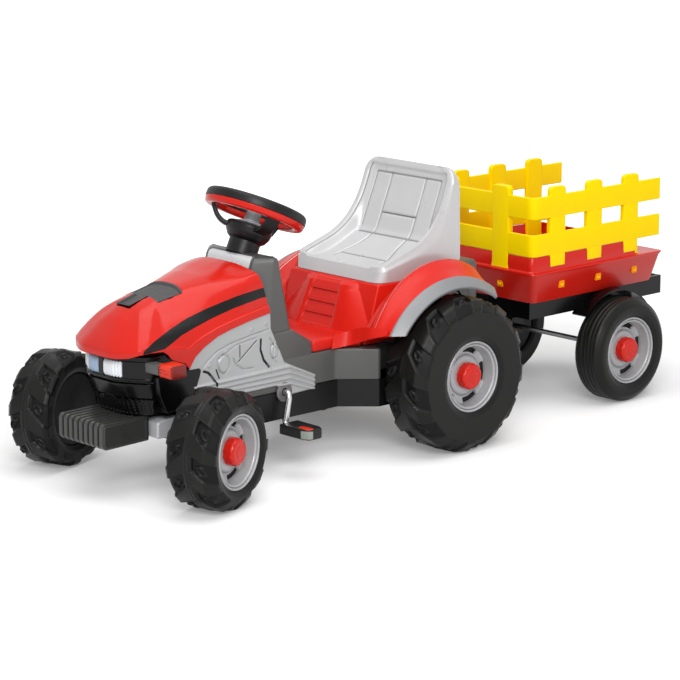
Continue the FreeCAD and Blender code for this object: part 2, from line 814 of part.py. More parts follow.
cowl = lofted([cowl_ring(cowl_low, 0, tunnel_top_z), cowl_ring(cowl_high, 0, cowl_top_z)])
cowl = cowl.cut([lofted([cowl_ring(cowl_low, cowl_wall, tunnel_top_z - cut_overrun),
                         cowl_ring(cowl_high, cowl_wall, cowl_top_z - cowl_wall)]), column_room])
keep("dash_cowl", cowl)


# Bonnet, its vent and the engine panels

hood_reach = hood_half + cut_overrun


def hood_skin(inset):
    """The bonnet's outer form, or the same form drawn in by its wall."""
    fall = (hood_rear_z - hood_brow_z) / (hood_brow_x - hood_rear_x)
    arch_top_z = hood_brow_z + fall * (hood_brow_x - hood_arch_x)
    rear_crown = (hood_rear_crown_share, hood_rear_crown_drop)
    crown = (hood_crown_share, hood_crown_drop)
    stations = [(hood_skirt_x - cut_overrun, hood_half, hood_rear_z, rear_crown),
                (hood_rear_x, hood_half, hood_rear_z, rear_crown),
                (hood_arch_x, hood_half, arch_top_z, crown),
                (hood_brow_x, hood_front_half, hood_brow_z, crown),
                (hood_lip_x + cut_overrun, hood_lip_half, hood_brow_z, crown)]
    rings = []
    for x, half, top_z, (crown_share, drop) in stations:
        section = [(-half, weight_low_z), (half, weight_low_z), (half, top_z - drop),
                   (half * crown_share, top_z), (-half * crown_share, top_z), (-half, top_z - drop)]
        ring = [(x, y, z) for y, z in drawn_in(section, inset)]
        rings.append(rounded_face(ring, [0, 0] + [hood_edge - inset] * 4).OuterWire)
    roof_z = hood_rear_z + cut_overrun
    front_x = hood_lip_x - inset
    side = [(hood_skirt_x, hood_arch_z - hood_wall), (hood_skirt_x, roof_z), (hood_rear_x, roof_z),
            (hood_brow_x, hood_brow_z + cut_overrun - inset), (front_x, hood_lip_z - hood_wall),
            (front_x, hood_arch_z - hood_wall)]
    brow = (hood_lip_x - hood_brow_x) / 2
    return Part.makeLoft(rings, True, True).common(along_y(side, -hood_reach, hood_reach,
                                                           [0, 0, 0, brow, 0, 0]))


skirt_line = [Vec(hood_skirt_x, 0, hood_skirt_z)]
skirt_xs = hood_arch_x - hood_skirt_x
skirt_zs = hood_skirt_z - hood_arch_z
skirt_shares = ((0.35, 0.15), (0.67, 0.36), (0.87, 0.63))
for x_share, drop_share in skirt_shares:
    skirt_line.append(Vec(hood_skirt_x + skirt_xs * x_share, 0, hood_skirt_z - skirt_zs * drop_share))
skirt_line.append(Vec(hood_arch_x, 0, hood_arch_z))


def skirt_cut(drop, half):
    """Everything below the bonnet's lower edge line, lowered by a drop."""
    curve = Part.BSplineCurve()
    curve.interpolate([point - Vec(0, half, drop) for point in skirt_line])
    start = curve.StartPoint
    end = curve.EndPoint
    low = weight_low_z
    rest_points = [end, Vec(hood_cheek_x, -half, hood_cheek_z - drop),
                   Vec(hood_lip_x, -half, hood_lip_z - drop),
                   Vec(hood_lip_x + cut_overrun, -half, hood_lip_z - drop),
                   Vec(hood_lip_x + cut_overrun, -half, low), Vec(hood_skirt_x - cut_overrun, -half, low),
                   Vec(hood_skirt_x - cut_overrun, -half, start.z), start]
    edges = [curve.toShape()]
    for first, second in zip(rest_points, rest_points[1:]):
        edges.append(Part.makeLine(first, second))
    return Part.Face(Part.Wire(edges)).extrude(Vec(0, 2 * half, 0))


def vent_outline(inset):
    """T-shaped air intake in plan, drawn in by an inset."""
    return both_sides([(vent_front_x - inset, vent_tongue_half - inset),
                       (vent_step_x - inset, vent_tongue_half - inset),
                       (vent_step_x - inset, vent_step_half - inset),
                       (vent_rear_x + inset, vent_rear_half - inset)])


cowl_block = lofted([cowl_ring(cowl_low, -seam_gap, tunnel_top_z),
                     cowl_ring(cowl_high, -seam_gap, cowl_top_z)])
hood = hood_skin(0).cut([hood_skin(hood_wall), skirt_cut(0, hood_reach), cowl_block,
                         along_z(vent_outline(0), hood_arch_z, hood_rear_z)])
keep("hood", hood)

top_shell = hood_skin(vent_depth).cut(hood_skin(hood_wall + vent_depth))
keep("hood_vent", top_shell.common(along_z(vent_outline(seam_gap), hood_arch_z, hood_rear_z)))

panel_outer_y = body_half + seam_gap + panel_thickness
panel_front_x = hood_arch_x - seam_gap
panel = [(panel_front_x, panel_front_z), (panel_front_x, hood_skirt_z), (cowl_rear_x, hood_skirt_z),
         (cowl_rear_x, cowl_bottom_z), (panel_rear_x, panel_rear_z + panel_rib_pitch * panel_rib_count),
         (panel_rear_x, panel_rear_z), (panel_bend_x, panel_front_z)]
for side_name, side in sides.items():
    plate = along_y(panel, body_half + seam_gap, panel_outer_y)
    above = skirt_cut(seam_gap, hood_reach)
    plate = plate.common(above)
    ribs = [plate]
    for index in range(panel_rib_count):
        lift = panel_rib_pitch * (index + 0.5)
        rib = [(panel_front_x, panel_front_z + lift), (panel_bend_x, panel_front_z + lift),
               (panel_rear_x, panel_rear_z + lift), (panel_rear_x, panel_rear_z + lift + panel_rib_height),
               (panel_bend_x, panel_front_z + lift + panel_rib_height),
               (panel_front_x, panel_front_z + lift + panel_rib_height)]
        ribs.append(along_y(rib, panel_outer_y - seam_gap, panel_outer_y + panel_rib_rise))
    plate = fused(ribs)
    keep("engine_panel_" + side_name, plate if side > 0 else mirrored(plate))


# Nose, lamps, signal and weights

def nose_form(drop, draw_in):
    """Grille block between the bonnet lip and the chin."""
    top_z = hood_lip_z - seam_gap - drop
    profile = [(nose_rear_x, nose_chin_z), (nose_chin_x - draw_in, nose_chin_z),
               (nose_front_x - nose_groove_depth - draw_in, nose_groove_z),
               (nose_front_x - draw_in, nose_groove_z + nose_groove_height),
               (nose_front_x - draw_in, top_z), (nose_rear_x, top_z)]
    half = [(nose_front_x - draw_in, nose_front_half), (nose_chin_x, nose_half - draw_in),
            (nose_rear_x, nose_half - draw_in)]
    body = along_y(profile, -nose_half, nose_half)
    plan = along_z(both_sides(half), nose_chin_z - cut_overrun, hood_lip_z)
    return body.common(plan)


lamp_seats = []
lamp_lenses = []
for side in sides.values():
    inner_y, outer_y = sorted((side * lamp_inner_y, side * lamp_outer_y))
    seat_x = nose_front_x - lamp_depth
    lamp_seats.append(block(seat_x, nose_front_x + cut_overrun, inner_y, outer_y, lamp_low_z, lamp_top_z))
    lamp_lenses.append(block(seat_x + seam_gap, nose_front_x, inner_y + seam_gap, outer_y - seam_gap,
                             lamp_low_z + seam_gap, lamp_top_z - seam_gap))
nose_room = nose_form(hood_wall, hood_wall)
nose_room = nose_room.common(block(nose_rear_x, nose_front_x - lamp_depth - hood_wall, -nose_half, nose_half,
                                   nose_chin_z + hood_wall, hood_lip_z))
nose = nose_form(0, 0).cut(lamp_seats + [moved(nose_room, -cut_overrun, 0, 0)])
body_room = block(nose_rear_x - cut_overrun, chassis_front_x + seam_gap, -panel_outer_y, panel_outer_y,
                  weight_low_z, tunnel_front_z + hood_lip_z)
nose = nose.cut(body_room)
keep("nose", nose.cut(hood))
keep("headlamps", Part.makeCompound(lamp_lenses))

keep("signal_arm", bar(Vec(signal_x, nose_half + seam_gap, signal_z),
                       Vec(signal_x, signal_arm_end_y, signal_z), signal_arm_radius))
lens_outline = [(signal_x - signal_lens_depth / 2, signal_z - signal_lens_height / 2),
                (signal_x + signal_lens_depth / 2, signal_z - signal_lens_height / 2),
                (signal_x + signal_lens_depth / 2, signal_z + signal_lens_height / 2),
                (signal_x - signal_lens_depth / 2, signal_z + signal_lens_height / 2)]
lens_start = signal_arm_end_y + seam_gap
keep("signal_lens", along_y(lens_outline, lens_start, lens_start + signal_lens_length,
                            [signal_lens_edge] * 4))

weight_foot_x = weight_rear_x + seam_gap
weight_roof_z = weight_top_z - seam_gap
weight_outline = [(weight_foot_x, weight_low_z), (weight_front_x, weight_low_z),
                  (weight_front_x, weight_roof_z), (weight_foot_x, weight_roof_z)]
weight = along_y(weight_outline, -weight_half, weight_half, [0, weight_edge, weight_edge, 0])
slab_pitch = 2 * weight_half / weight_slab_count
weight_cuts = [nose_form(-seam_gap, -seam_gap)]
for index in range(1, weight_slab_count):
    groove_y = -weight_half + slab_pitch * index
    low_y = groove_y - weight_groove_width / 2
    high_y = groove_y + weight_groove_width / 2
    weight_cuts.append(block(weight_front_x - weight_groove_depth, weight_front_x + cut_overrun, low_y,
                             high_y, weight_low_z - cut_overrun, weight_top_z + cut_overrun))
    weight_cuts.append(block(weight_rear_x, weight_front_x + cut_overrun, low_y, high_y,
                             weight_top_z - weight_groove_depth, weight_top_z + cut_overrun))
keep("front_weight", weight.cut(weight_cuts))


# Seat base with its mudguards, trims and the seat

base_low_z = deck_z + seam_gap
base_top_z = seat_bottom_z - seam_gap
flange_top_z = base_low_z + flange_rise
flange_plan = both_sides([(tunnel_rear_x - seam_gap, flange_half), (flare_front_x, body_half),
                          (flare_rear_x, flare_half), (base_rear_x, flare_half)])


def lifted(outline, z):
    """A plan outline as points at a height."""
    return [(x, y, z) for x, y in outline]


wall_in_y = base_half - base_wall
fender_form = [(0, wall_in_y), (fender_radius, wall_in_y), (fender_radius, fender_crest_y),
               (fender_lip_radius, fender_lip_y), (trim_inner_radius, trim_outer_y), (0, trim_outer_y)]
fender_room = drawn_in(fender_form, base_wall)
fender_profile = fender_form[1:4] + [fender_room[3], fender_room[2], (fender_radius - base_wall, wall_in_y)]
fender_radii = [0, fender_edge, 0, 0, fender_edge - base_wall, 0]
fender_sweep = fender_rear_deg - fender_front_deg
fender_top_z = fender_centre_z + fender_radius
above_cut = block(base_rear_x - fender_radius, tunnel_rear_x, -trim_outer_y - cut_overrun,
                  trim_outer_y + cut_overrun, fender_low_z, fender_top_z + cut_overrun)


def round_axle(profile, sweep_deg, radii=None):
    """Ring of a (radius, y) profile over the rear wheel, level at its front end."""
    ring = moved(turned(profile, sweep_deg, fender_front_deg, radii), 0, 0, fender_centre_z)
    return ring.common(above_cut)


guard_wall = along_y([(fender_radius, base_low_z), (fender_radius, fender_top_z),
                      (base_rear_x, fender_top_z), (base_rear_x, base_low_z)], wall_in_y, base_half)
guard_disc = bar(Vec(0, wall_in_y, fender_centre_z), Vec(0, base_half, fender_centre_z), fender_radius)
apron_low_x = math.sqrt(fender_radius ** 2 - (fender_low_z - fender_centre_z) ** 2)
apron_top_x = math.sqrt(fender_radius ** 2 - (base_top_z - fender_centre_z) ** 2)
pedestal_low = both_sides([(panel_tile_low_x, panel_tile_half_low), (apron_low_x, base_half),
                           (base_rear_x, base_half)])
pedestal_top = both_sides([(panel_tile_top_x, panel_tile_half_top), (apron_top_x, base_half),
                           (base_rear_x, base_half)])
base_parts = [along_z(flange_plan, base_low_z, flange_top_z),
              lofted([lifted(pedestal_low, flange_top_z - base_wall), lifted(pedestal_top, base_top_z)])]
for side in sides.values():
    fender = round_axle(fender_profile, fender_sweep, fender_radii)
    wall = guard_wall.common(guard_disc)
    for shape in (fender, wall):
        base_parts.append(shape if side > 0 else mirrored(shape))
base = fused(base_parts)
flange_room = both_sides([(tunnel_rear_x - base_wall, flange_half - base_wall),
                          (flare_front_x - base_wall, body_half - base_wall),
                          (flare_rear_x - base_wall, flare_half - base_wall),
                          (base_rear_x + base_wall, flare_half - base_wall)])
pedestal_room = lofted([lifted(drawn_in(pedestal_low, base_wall), flange_top_z - 2 * base_wall),
                        lifted(drawn_in(pedestal_top, base_wall), base_top_z - base_wall)])
screw_spots = [(x, way * seat_screw_y) for x in (seat_screw_front_x, seat_screw_rear_x) for way in (1, -1)]
screw_holes = [bar(Vec(x, y, base_top_z - base_wall - cut_overrun), Vec(x, y, seat_pan_z + cut_overrun),
                   seat_screw_radius + running_clearance) for x, y in screw_spots]
base = base.cut([along_z(flange_room, base_low_z - cut_overrun, flange_top_z - base_wall),
                 pedestal_room] + screw_holes)
keep("seat_base", base)

trim_profile = [fender_form[3], fender_form[4], fender_room[4], fender_room[3]]
for side_name, side in sides.items():
    trim = moved(round_axle(trim_profile, trim_rear_deg - fender_front_deg), 0, seam_gap, 0)
    keep("fender_trim_" + side_name, trim if side > 0 else mirrored(trim))

seat_side = [(seat_front_x, seat_bottom_z), (seat_lip_x, seat_lip_z), (seat_shoulder_x, seat_shoulder_z),
             (seat_top_x, seat_top_z), (seat_top_x - seat_top_thickness, seat_top_z),
             (seat_rear_x, seat_bottom_z)]
seat_form = along_y(seat_side, -seat_half, seat_half, [0, seat_wall, seat_corner, 0, 0, 0])
seat_front = [(seat_half, seat_bottom_z), (seat_half, seat_lip_z), (seat_back_half, seat_top_z),
              (-seat_back_half, seat_top_z), (-seat_half, seat_lip_z), (-seat_half, seat_bottom_z)]
seat_form = seat_form.common(along_x(seat_front, seat_rear_x, seat_front_x,
                                     [0, 0, seat_corner, seat_corner, 0, 0]))
seat_plan = both_sides([(seat_front_x, seat_half), (seat_rear_x, seat_half)])
seat_form = seat_form.common(along_z(seat_plan, seat_bottom_z, seat_top_z,
                                     both_radii([seat_corner, seat_corner])))
bowl_side = [(seat_lip_x - seat_wall, seat_lip_z + cut_overrun), (seat_lip_x - 2 * seat_wall, seat_pan_z),
             (seat_pan_rear_x + seat_corner, seat_pan_z), (seat_pan_rear_x, seat_pan_rear_z),
             (seat_top_x, seat_top_z + cut_overrun), (seat_lip_x, seat_top_z + cut_overrun)]
bowl_half = seat_half - seat_wall
bowl = along_y(bowl_side, -bowl_half, bowl_half)
under = along_z(both_sides([(seat_lip_x - seat_wall, bowl_half), (seat_pan_rear_x, bowl_half)]),
                seat_bottom_z - cut_overrun, seat_pan_z - seat_pan_wall)
back_room = [(seat_rear_x + seat_pan_wall, seat_bottom_z - cut_overrun),
             (seat_pan_rear_x - seat_pan_wall, seat_bottom_z - cut_overrun),
             (seat_pan_rear_x - seat_pan_wall, seat_pan_rear_z - seat_pan_wall),
             (seat_rear_x + seat_pan_wall, seat_shoulder_z)]
seat = seat_form.cut([bowl, under, along_y(back_room, -bowl_half, bowl_half)] + screw_holes)
keep("seat", seat)

screws = []
for x, y in screw_spots:
    head_low = Vec(x, y, seat_pan_z)
    shank_low = Vec(x, y, base_top_z - base_wall)
    screws.append(fused([bar(shank_low, head_low + Vec(0, 0, seat_screw_head), seat_screw_radius),
                         bar(head_low, head_low + Vec(0, 0, seat_screw_head), seat_screw_head_radius)]))
keep("seat_screws", Part.makeCompound(screws))


# Chain drive, crank and pedals

def sprocket(teeth, bore):
    """Toothed wheel about Y, at the chain's plane."""
    pitch_radius = chain_pitch / 2 / math.sin(math.pi / teeth)
    tip = pitch_radius + tooth_depth / 2
    root = pitch_radius - tooth_depth / 2
    step = 2 * math.pi / teeth
    tooth_shares = ((0.0, root), (0.3, root), (0.5, tip), (0.8, tip))
    points = []
    for index in range(teeth):
        for share, radius in tooth_shares:
            angle = (index + share) * step
            points.append((radius * math.cos(angle), radius * math.sin(angle)))
    disc = along_y(points, chain_y - sprocket_width / 2, chain_y + sprocket_width / 2)
    return disc.cut(bar(Vec(0, chain_y - sprocket_width, 0), Vec(0, chain_y + sprocket_width, 0), bore)), tip


def loop(front_radius, rear_radius):
    """Plate with straight sides round two circles, one on the crank and one on the axle."""
    lean = (front_radius - rear_radius) / crank_x
    rise = math.sqrt(1 - lean * lean)
    y = chain_y - chain_width / 2
    spots = []
    for x, radius in ((crank_x, front_radius), (0, rear_radius)):
        for way in (1, -1):
            spots.append(Vec(x - radius * lean, y, axle_z + way * radius * rise))
    front_high, front_low, rear_high, rear_low = spots
    edges = [Part.makeLine(front_high, rear_high),
             Part.Arc(rear_high, Vec(-rear_radius, y, axle_z), rear_low).toShape(),
             Part.makeLine(rear_low, front_low),
             Part.Arc(front_low, Vec(crank_x + front_radius, y, axle_z), front_high).toShape()]
    return Part.Face(Part.Wire(edges)).extrude(Vec(0, chain_width, 0))


rod_bore = rod_radius + running_clearance
drive_wheel, drive_tip = sprocket(drive_teeth, rod_bore)
driven_wheel, driven_tip = sprocket(driven_teeth, rod_bore)
keep("drive_sprocket", moved(drive_wheel, crank_x, 0, axle_z))
keep("driven_sprocket", moved(driven_wheel, 0, 0, axle_z))
inner_loop = loop(drive_tip + chain_clearance, driven_tip + chain_clearance)
keep("drive_chain", loop(drive_tip + chain_clearance + chain_thickness,
                         driven_tip + chain_clearance + chain_thickness).cut(inner_loop))

axle_half = rear_track_half + axle_end(rear_wheel_width)
keep("rear_axle", bar(Vec(0, -axle_half, axle_z), Vec(0, axle_half, axle_z), rod_radius))

crank_rest = math.radians(crank_rest_deg)
arm_x = crank_arm * math.sin(crank_rest)
arm_z = -crank_arm * math.cos(crank_rest)
spindle_y = pedal_inner_y + pedal_length - spindle_cap
left_x = crank_x + arm_x
left_z = axle_z + arm_z
right_x = crank_x - arm_x
right_z = axle_z - arm_z
crank_points = [(left_x, spindle_y, left_z), (left_x, crank_arm_y, left_z),
                (crank_x, crank_arm_y, axle_z), (crank_x, -crank_arm_y, axle_z),
                (right_x, -crank_arm_y, right_z), (right_x, -spindle_y, right_z)]
keep("crankshaft", bent_bar(crank_points, rod_radius, crank_bend))

bushes = []
for x, half in ((0, flare_half), (crank_x, body_half)):
    for side in sides.values():
        inside_y = side * (half - body_wall)
        wall_out_y = side * (half + seam_gap)
        flange_y = side * (half + seam_gap + bush_flange)
        bush = fused([bar(Vec(x, inside_y, axle_z), Vec(x, flange_y, axle_z), bush_radius),
                      bar(Vec(x, wall_out_y, axle_z), Vec(x, flange_y, axle_z), bush_flange_radius)])
        bushes.append(bush.cut(bar(Vec(x, inside_y - side * cut_overrun, axle_z),
                                   Vec(x, flange_y + side * cut_overrun, axle_z), rod_bore)))
keep("axle_bushes", Part.makeCompound(bushes))

pedal_end_y = pedal_inner_y + pedal_length
half_depth = pedal_depth / 2
half_thick = pedal_thickness / 2
pedal_outline = [(-half_depth, -half_thick), (half_depth, -half_thick), (half_depth, half_thick),
                 (-half_depth, half_thick)]
reflector_start = pedal_inner_y + (pedal_length - reflector_length) / 2
for side_name, side in sides.items():
    block_solid = along_y(pedal_outline, pedal_inner_y, pedal_end_y, [pedal_corner] * 4)
    spindle_room = bar(Vec(0, pedal_inner_y - cut_overrun, 0), Vec(0, spindle_y + body_gap, 0), rod_bore)
    reflectors = []
    rooms = [spindle_room]
    for way in (1, -1):
        inner_x, outer_x = sorted((way * (half_depth - reflector_depth), way * half_depth))
        rooms.append(block(inner_x, outer_x, reflector_start, reflector_start + reflector_length,
                           -reflector_height / 2, reflector_height / 2))
        reflectors.append(block(inner_x + seam_gap, outer_x - seam_gap, reflector_start + seam_gap,
                                reflector_start + reflector_length - seam_gap,
                                seam_gap - reflector_height / 2, reflector_height / 2 - seam_gap))
    pedal = block_solid.cut(rooms)
    for node, shape in (("", pedal), ("_reflectors", Part.makeCompound(reflectors))):
        shape = shape if side > 0 else mirrored(shape)
        keep("pedal_" + side_name + node, moved(shape, crank_x + side * arm_x, 0, axle_z + side * arm_z))


# Trailer

frame_inner = trailer_frame_half - trailer_frame_wall
frame_plan = both_sides([(trailer_frame_front_x, trailer_frame_half),
                         (trailer_frame_rear_x, trailer_frame_half)])
frame_room = both_sides([(trailer_frame_front_x - trailer_frame_wall, frame_inner),
                         (trailer_frame_rear_x + trailer_frame_wall, frame_inner)])
frame_top_z = tray_low_z - seam_gap
guard_profile = [(guard_radius - guard_thickness, frame_inner), (guard_radius, frame_inner),
                 (guard_radius, guard_outer_y), (guard_radius - guard_thickness, guard_outer_y)]
hanger = [(trailer_axle_x + hanger_half_width, trailer_frame_low_z + trailer_frame_wall),
          (trailer_axle_x + hanger_foot_radius, trailer_axle_z - hanger_foot_radius),
          (trailer_axle_x - hanger_foot_radius, trailer_axle_z - hanger_foot_radius),
          (trailer_axle_x - hanger_half_width, trailer_frame_low_z + trailer_frame_wall)]
frame_parts = [along_z(frame_plan, trailer_frame_low_z, frame_top_z).cut(
    along_z(frame_room, trailer_frame_low_z + trailer_frame_wall, frame_top_z + cut_overrun))]
for side in sides.values():
    guard = moved(turned(guard_profile, 180.0 - 2 * guard_front_deg, guard_front_deg),
                  trailer_axle_x, 0, trailer_axle_z)
    leg = along_y(hanger, frame_inner, trailer_frame_half)
    for shape in (guard, leg):
        frame_parts.append(shape if side > 0 else mirrored(shape))
trailer_frame = fused(frame_parts)
axle_span = trailer_track_half + axle_end(trailer_wheel_width)
axle_right = Vec(trailer_axle_x, -axle_span, trailer_axle_z)
axle_left = Vec(trailer_axle_x, axle_span, trailer_axle_z)
axle_bore = bar(axle_right, axle_left, trailer_axle_radius + running_clearance)
keep("trailer_chassis", trailer_frame.cut(axle_bore))
keep("trailer_axle", bar(axle_right, axle_left, trailer_axle_radius))

drawbar = fused([block(drawbar_rear_x, hitch_x, -drawbar_half, drawbar_half, drawbar_low_z, drawbar_top_z),
                 bar(Vec(hitch_x, 0, drawbar_low_z), Vec(hitch_x, 0, drawbar_top_z), drawbar_eye_radius)])
drawbar_inner = drawbar_half - drawbar_wall
drawbar_room = block(drawbar_rear_x - cut_overrun, hitch_x - 2 * drawbar_eye_radius, -drawbar_inner,
                     drawbar_inner, drawbar_low_z + drawbar_wall, drawbar_top_z - drawbar_wall)
pin_bore = bar(Vec(hitch_x, 0, drawbar_low_z - cut_overrun), Vec(hitch_x, 0, drawbar_top_z + cut_overrun),
               hitch_pin_radius + running_clearance)
keep("trailer_drawbar", drawbar.cut([drawbar_room, pin_bore]))
pin_low = Vec(hitch_x, 0, hitch_low_z)
pin_shoulder = Vec(hitch_x, 0, hitch_top_z)
pin_top = Vec(hitch_x, 0, hitch_top_z + hitch_pin_head)
keep("hitch_pin", fused([bar(pin_low, pin_top, hitch_pin_radius),
                         bar(pin_shoulder, pin_top, hitch_pin_head_radius)]))

ledge_low_z = ledge_z - ledge_thickness
tray_low = both_sides([(tray_low_front_x, tray_low_half), (tray_low_rear_x, tray_low_half)])
tray_high = both_sides([(ledge_front_x - ledge_side_inset, ledge_half - ledge_side_inset),
                        (ledge_rear_x + ledge_side_inset, ledge_half - ledge_side_inset)])
ledge_plan = both_sides([(ledge_front_x, ledge_half), (ledge_rear_x, ledge_half)])
fence_inner = fence_half - fence_wall
rim_half = fence_inner - seam_gap - tray_rim_inset
rim_front_x = fence_front_x - fence_wall - seam_gap - tray_rim_inset
rim_plan = both_sides([(rim_front_x, rim_half), (ledge_rear_x, rim_half)])
tray_floor_z = tray_low_z + tray_wall
bay_plan = both_sides([(rim_front_x - tray_wall, rim_half - tray_wall),
                       (ledge_rear_x + tray_wall, rim_half - tray_wall)])
bay_low = both_sides([(rim_front_x - tray_wall, rim_half - tray_wall),
                      (tray_low_rear_x + tray_wall, rim_half - tray_wall)])
tray = fused([lofted([lifted(tray_low, tray_low_z), lifted(tray_high, ledge_low_z)]),
              along_z(ledge_plan, ledge_low_z, ledge_z, both_radii([tray_corner, tray_corner])),
              along_z(rim_plan, ledge_z, tray_rim_z)])
bay_mouth = [(x, y, tray_rim_z + cut_overrun) for x, y in bay_plan]

latch_low_z = ledge_low_z - latch_height
latch_outer_y = fence_half + latch_thickness


def latch(x, side, room):
    """Tab of a fence post that shows in a window of the tray's side, or the room that it needs."""
    half = latch_width / 2 + room
    inner_y, outer_y = sorted((side * (fence_half - fence_wall / 2 - room), side * (latch_outer_y + room)))
    return block(x - half, x + half, inner_y, outer_y, latch_low_z - room, ledge_z + cut_overrun)


windows = [latch(x, side, seam_gap) for x in fence_side_post_xs for side in sides.values()]
tray = tray.cut(windows)
tray = tray.cut(lofted([lifted(bay_low, tray_floor_z), lifted(bay_plan, ledge_low_z), bay_mouth]))
keep("trailer_tray", tray)

fence_plan = both_sides([(fence_front_x, fence_half), (fence_rear_x, fence_half)])
fence_room = both_sides([(fence_front_x - fence_wall, fence_inner),
                         (fence_rear_x - cut_overrun, fence_inner)])
fence_parts = []
for low_z in (fence_low_rail_z, fence_high_rail_z):
    rail = along_z(fence_plan, low_z, low_z + fence_rail_height, both_radii([fence_corner, 0]))
    rail_room = along_z(fence_room, low_z - cut_overrun, low_z + fence_rail_height + cut_overrun,
                        both_radii([fence_corner - fence_wall, 0]))
    fence_parts.append(rail.cut(rail_room))
post_low_z = ledge_z + seam_gap
post_half = fence_post_width / 2
for x in fence_side_post_xs:
    for side in sides.values():
        inner_y, outer_y = sorted((side * fence_inner, side * (fence_half + fence_post_extra)))
        fence_parts.append(block(x - post_half, x + post_half, inner_y, outer_y, post_low_z,
                                 fence_post_top_z))
        fence_parts.append(latch(x, side, 0))
for y in fence_front_post_ys:
    fence_parts.append(block(fence_front_x - fence_wall, fence_front_x + fence_post_extra, y - post_half,
                             y + post_half, post_low_z, fence_post_top_z))
keep("trailer_fence", fused(fence_parts))


# Shared frame and export

front_end_x = max(shape.BoundBox.XMax for shape in pieces.values())
rear_end_x = min(shape.BoundBox.XMin for shape in pieces.values())
origin_x = (front_end_x + rear_end_x) / 2

os.makedirs("parts", exist_ok=True)
for node, shape in pieces.items():
    placed = shape.translated(Vec(-origin_x, 0, 0))
    print(node, "valid" if placed.isValid() else "INVALID", len(placed.Solids), round(placed.Volume))
    placed.exportStep("parts/" + node + ".step")


def spot(label, point):
    """Print a place in the shared frame, in metres."""
    print(label, [round(value / 1000, 6) for value in (point.x - origin_x, point.y, point.z)])


print("nodes", len(pieces))
spot("rear_axle", Vec(0, 0, axle_z))
spot("crank", Vec(crank_x, 0, axle_z))
spot("kingpin_left", Vec(kingpin_x, kingpin_y, front_axle_z))
spot("wheel_centre", wheel_centre)
spot("hitch", Vec(hitch_x, 0, drawbar_low_z))
spot("trailer_axle", Vec(trailer_axle_x, 0, trailer_axle_z))
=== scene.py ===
"""Looks of a ride-on pedal tractor with its trailer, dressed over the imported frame.

Shapes are worked out in millimetres from the point on the ground under the rear axle,
with X forward, Y to the left and Z up, and `place` turns them into the frame's metres.
"""

import json
import logging
import math
from dataclasses import dataclass
from enum import Enum

import bmesh
import bpy
import numpy as np
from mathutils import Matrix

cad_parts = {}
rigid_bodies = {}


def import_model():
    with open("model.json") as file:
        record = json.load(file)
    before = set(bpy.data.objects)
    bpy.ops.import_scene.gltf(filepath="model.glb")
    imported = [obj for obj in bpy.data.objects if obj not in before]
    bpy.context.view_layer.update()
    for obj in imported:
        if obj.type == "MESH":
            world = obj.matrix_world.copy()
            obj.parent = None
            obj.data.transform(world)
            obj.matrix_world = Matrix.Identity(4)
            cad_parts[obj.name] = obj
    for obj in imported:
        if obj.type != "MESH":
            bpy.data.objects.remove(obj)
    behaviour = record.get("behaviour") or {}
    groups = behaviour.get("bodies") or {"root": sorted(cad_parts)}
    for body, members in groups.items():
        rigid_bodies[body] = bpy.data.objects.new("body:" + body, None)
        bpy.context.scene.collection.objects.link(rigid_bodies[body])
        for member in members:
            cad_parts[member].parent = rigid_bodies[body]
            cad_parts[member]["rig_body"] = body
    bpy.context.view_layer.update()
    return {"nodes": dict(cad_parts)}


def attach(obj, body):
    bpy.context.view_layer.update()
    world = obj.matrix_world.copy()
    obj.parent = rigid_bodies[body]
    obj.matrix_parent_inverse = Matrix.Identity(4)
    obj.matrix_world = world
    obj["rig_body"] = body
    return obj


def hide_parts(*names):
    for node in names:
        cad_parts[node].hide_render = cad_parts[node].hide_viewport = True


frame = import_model()

LOG = logging.getLogger("tractor")
Array = np.ndarray
Points = list[tuple[float, float]]
Place = tuple[float, float, float]
Tree = bpy.types.NodeTree
Socket = bpy.types.NodeSocket

MM = 0.001
ORIGIN_X = 20.86
MERGE_M = 2e-6
STEER_DEG = 17.6


class Axis(Enum):
    """Direction in which an outline is carried."""

    X = 0
    Y = 1
    Z = 2


class Side(Enum):
    """Side of the toy, as the sign of Y."""

    LEFT = 1
    RIGHT = -1

    @property
    def word(self) -> str:
        """The side's name in the frame."""
        return self.name.lower()


def place(points: Array) -> Array:
    """Millimetres from the rear axle's foot as metres in the frame."""
    return (np.asarray(points, float) - np.array([ORIGIN_X, 0.0, 0.0])) * MM


def joined(x: Array | float, y: Array | float, z: Array | float) -> Array:
    """Three coordinates, spread to one shape, as points."""
    return np.stack(np.broadcast_arrays(x, y, z), axis=-1)


def mirrored(points: Array, side: Side) -> Array:
    """Points drawn for the left, on the side that is asked for."""
    return points * np.array([1.0, side.value, 1.0])


def around(count: int) -> Array:
    """Equal angles of one full turn, as a column."""
    return np.linspace(0.0, 2 * np.pi, count, endpoint=False)[:, None]


def smooth(low: float, high: float, value: Array) -> Array:
    """Eases from 0 at low to 1 at high on a cubic."""
    t = np.clip((np.asarray(value, float) - low) / (high - low), 0.0, 1.0)
    return t * t * (3.0 - 2.0 * t)


def through(value: Array, *points: tuple[float, float]) -> Array:
    """Straight lines through (place, height) points, read at value."""
    places, heights = zip(*points)
    return np.interp(value, places, heights)


def hump(value: Array, middle: float, width: float) -> Array:
    """A bell of height 1 round the middle."""
    return np.exp(-(((np.asarray(value, float) - middle) / width) ** 2))


def between(start: Array | float, end: Array | float, share: Array | float) -> Array:
    """A share of the way from start to end."""
    return start + (end - start) * share


def quarter(share: Array) -> Array:
    """How far a quarter round has drawn in: 0 up to share 0, and 1 at share 1."""
    return 1 - np.sqrt(np.clip(1 - np.clip(share, 0, None) ** 2, 0, 1))


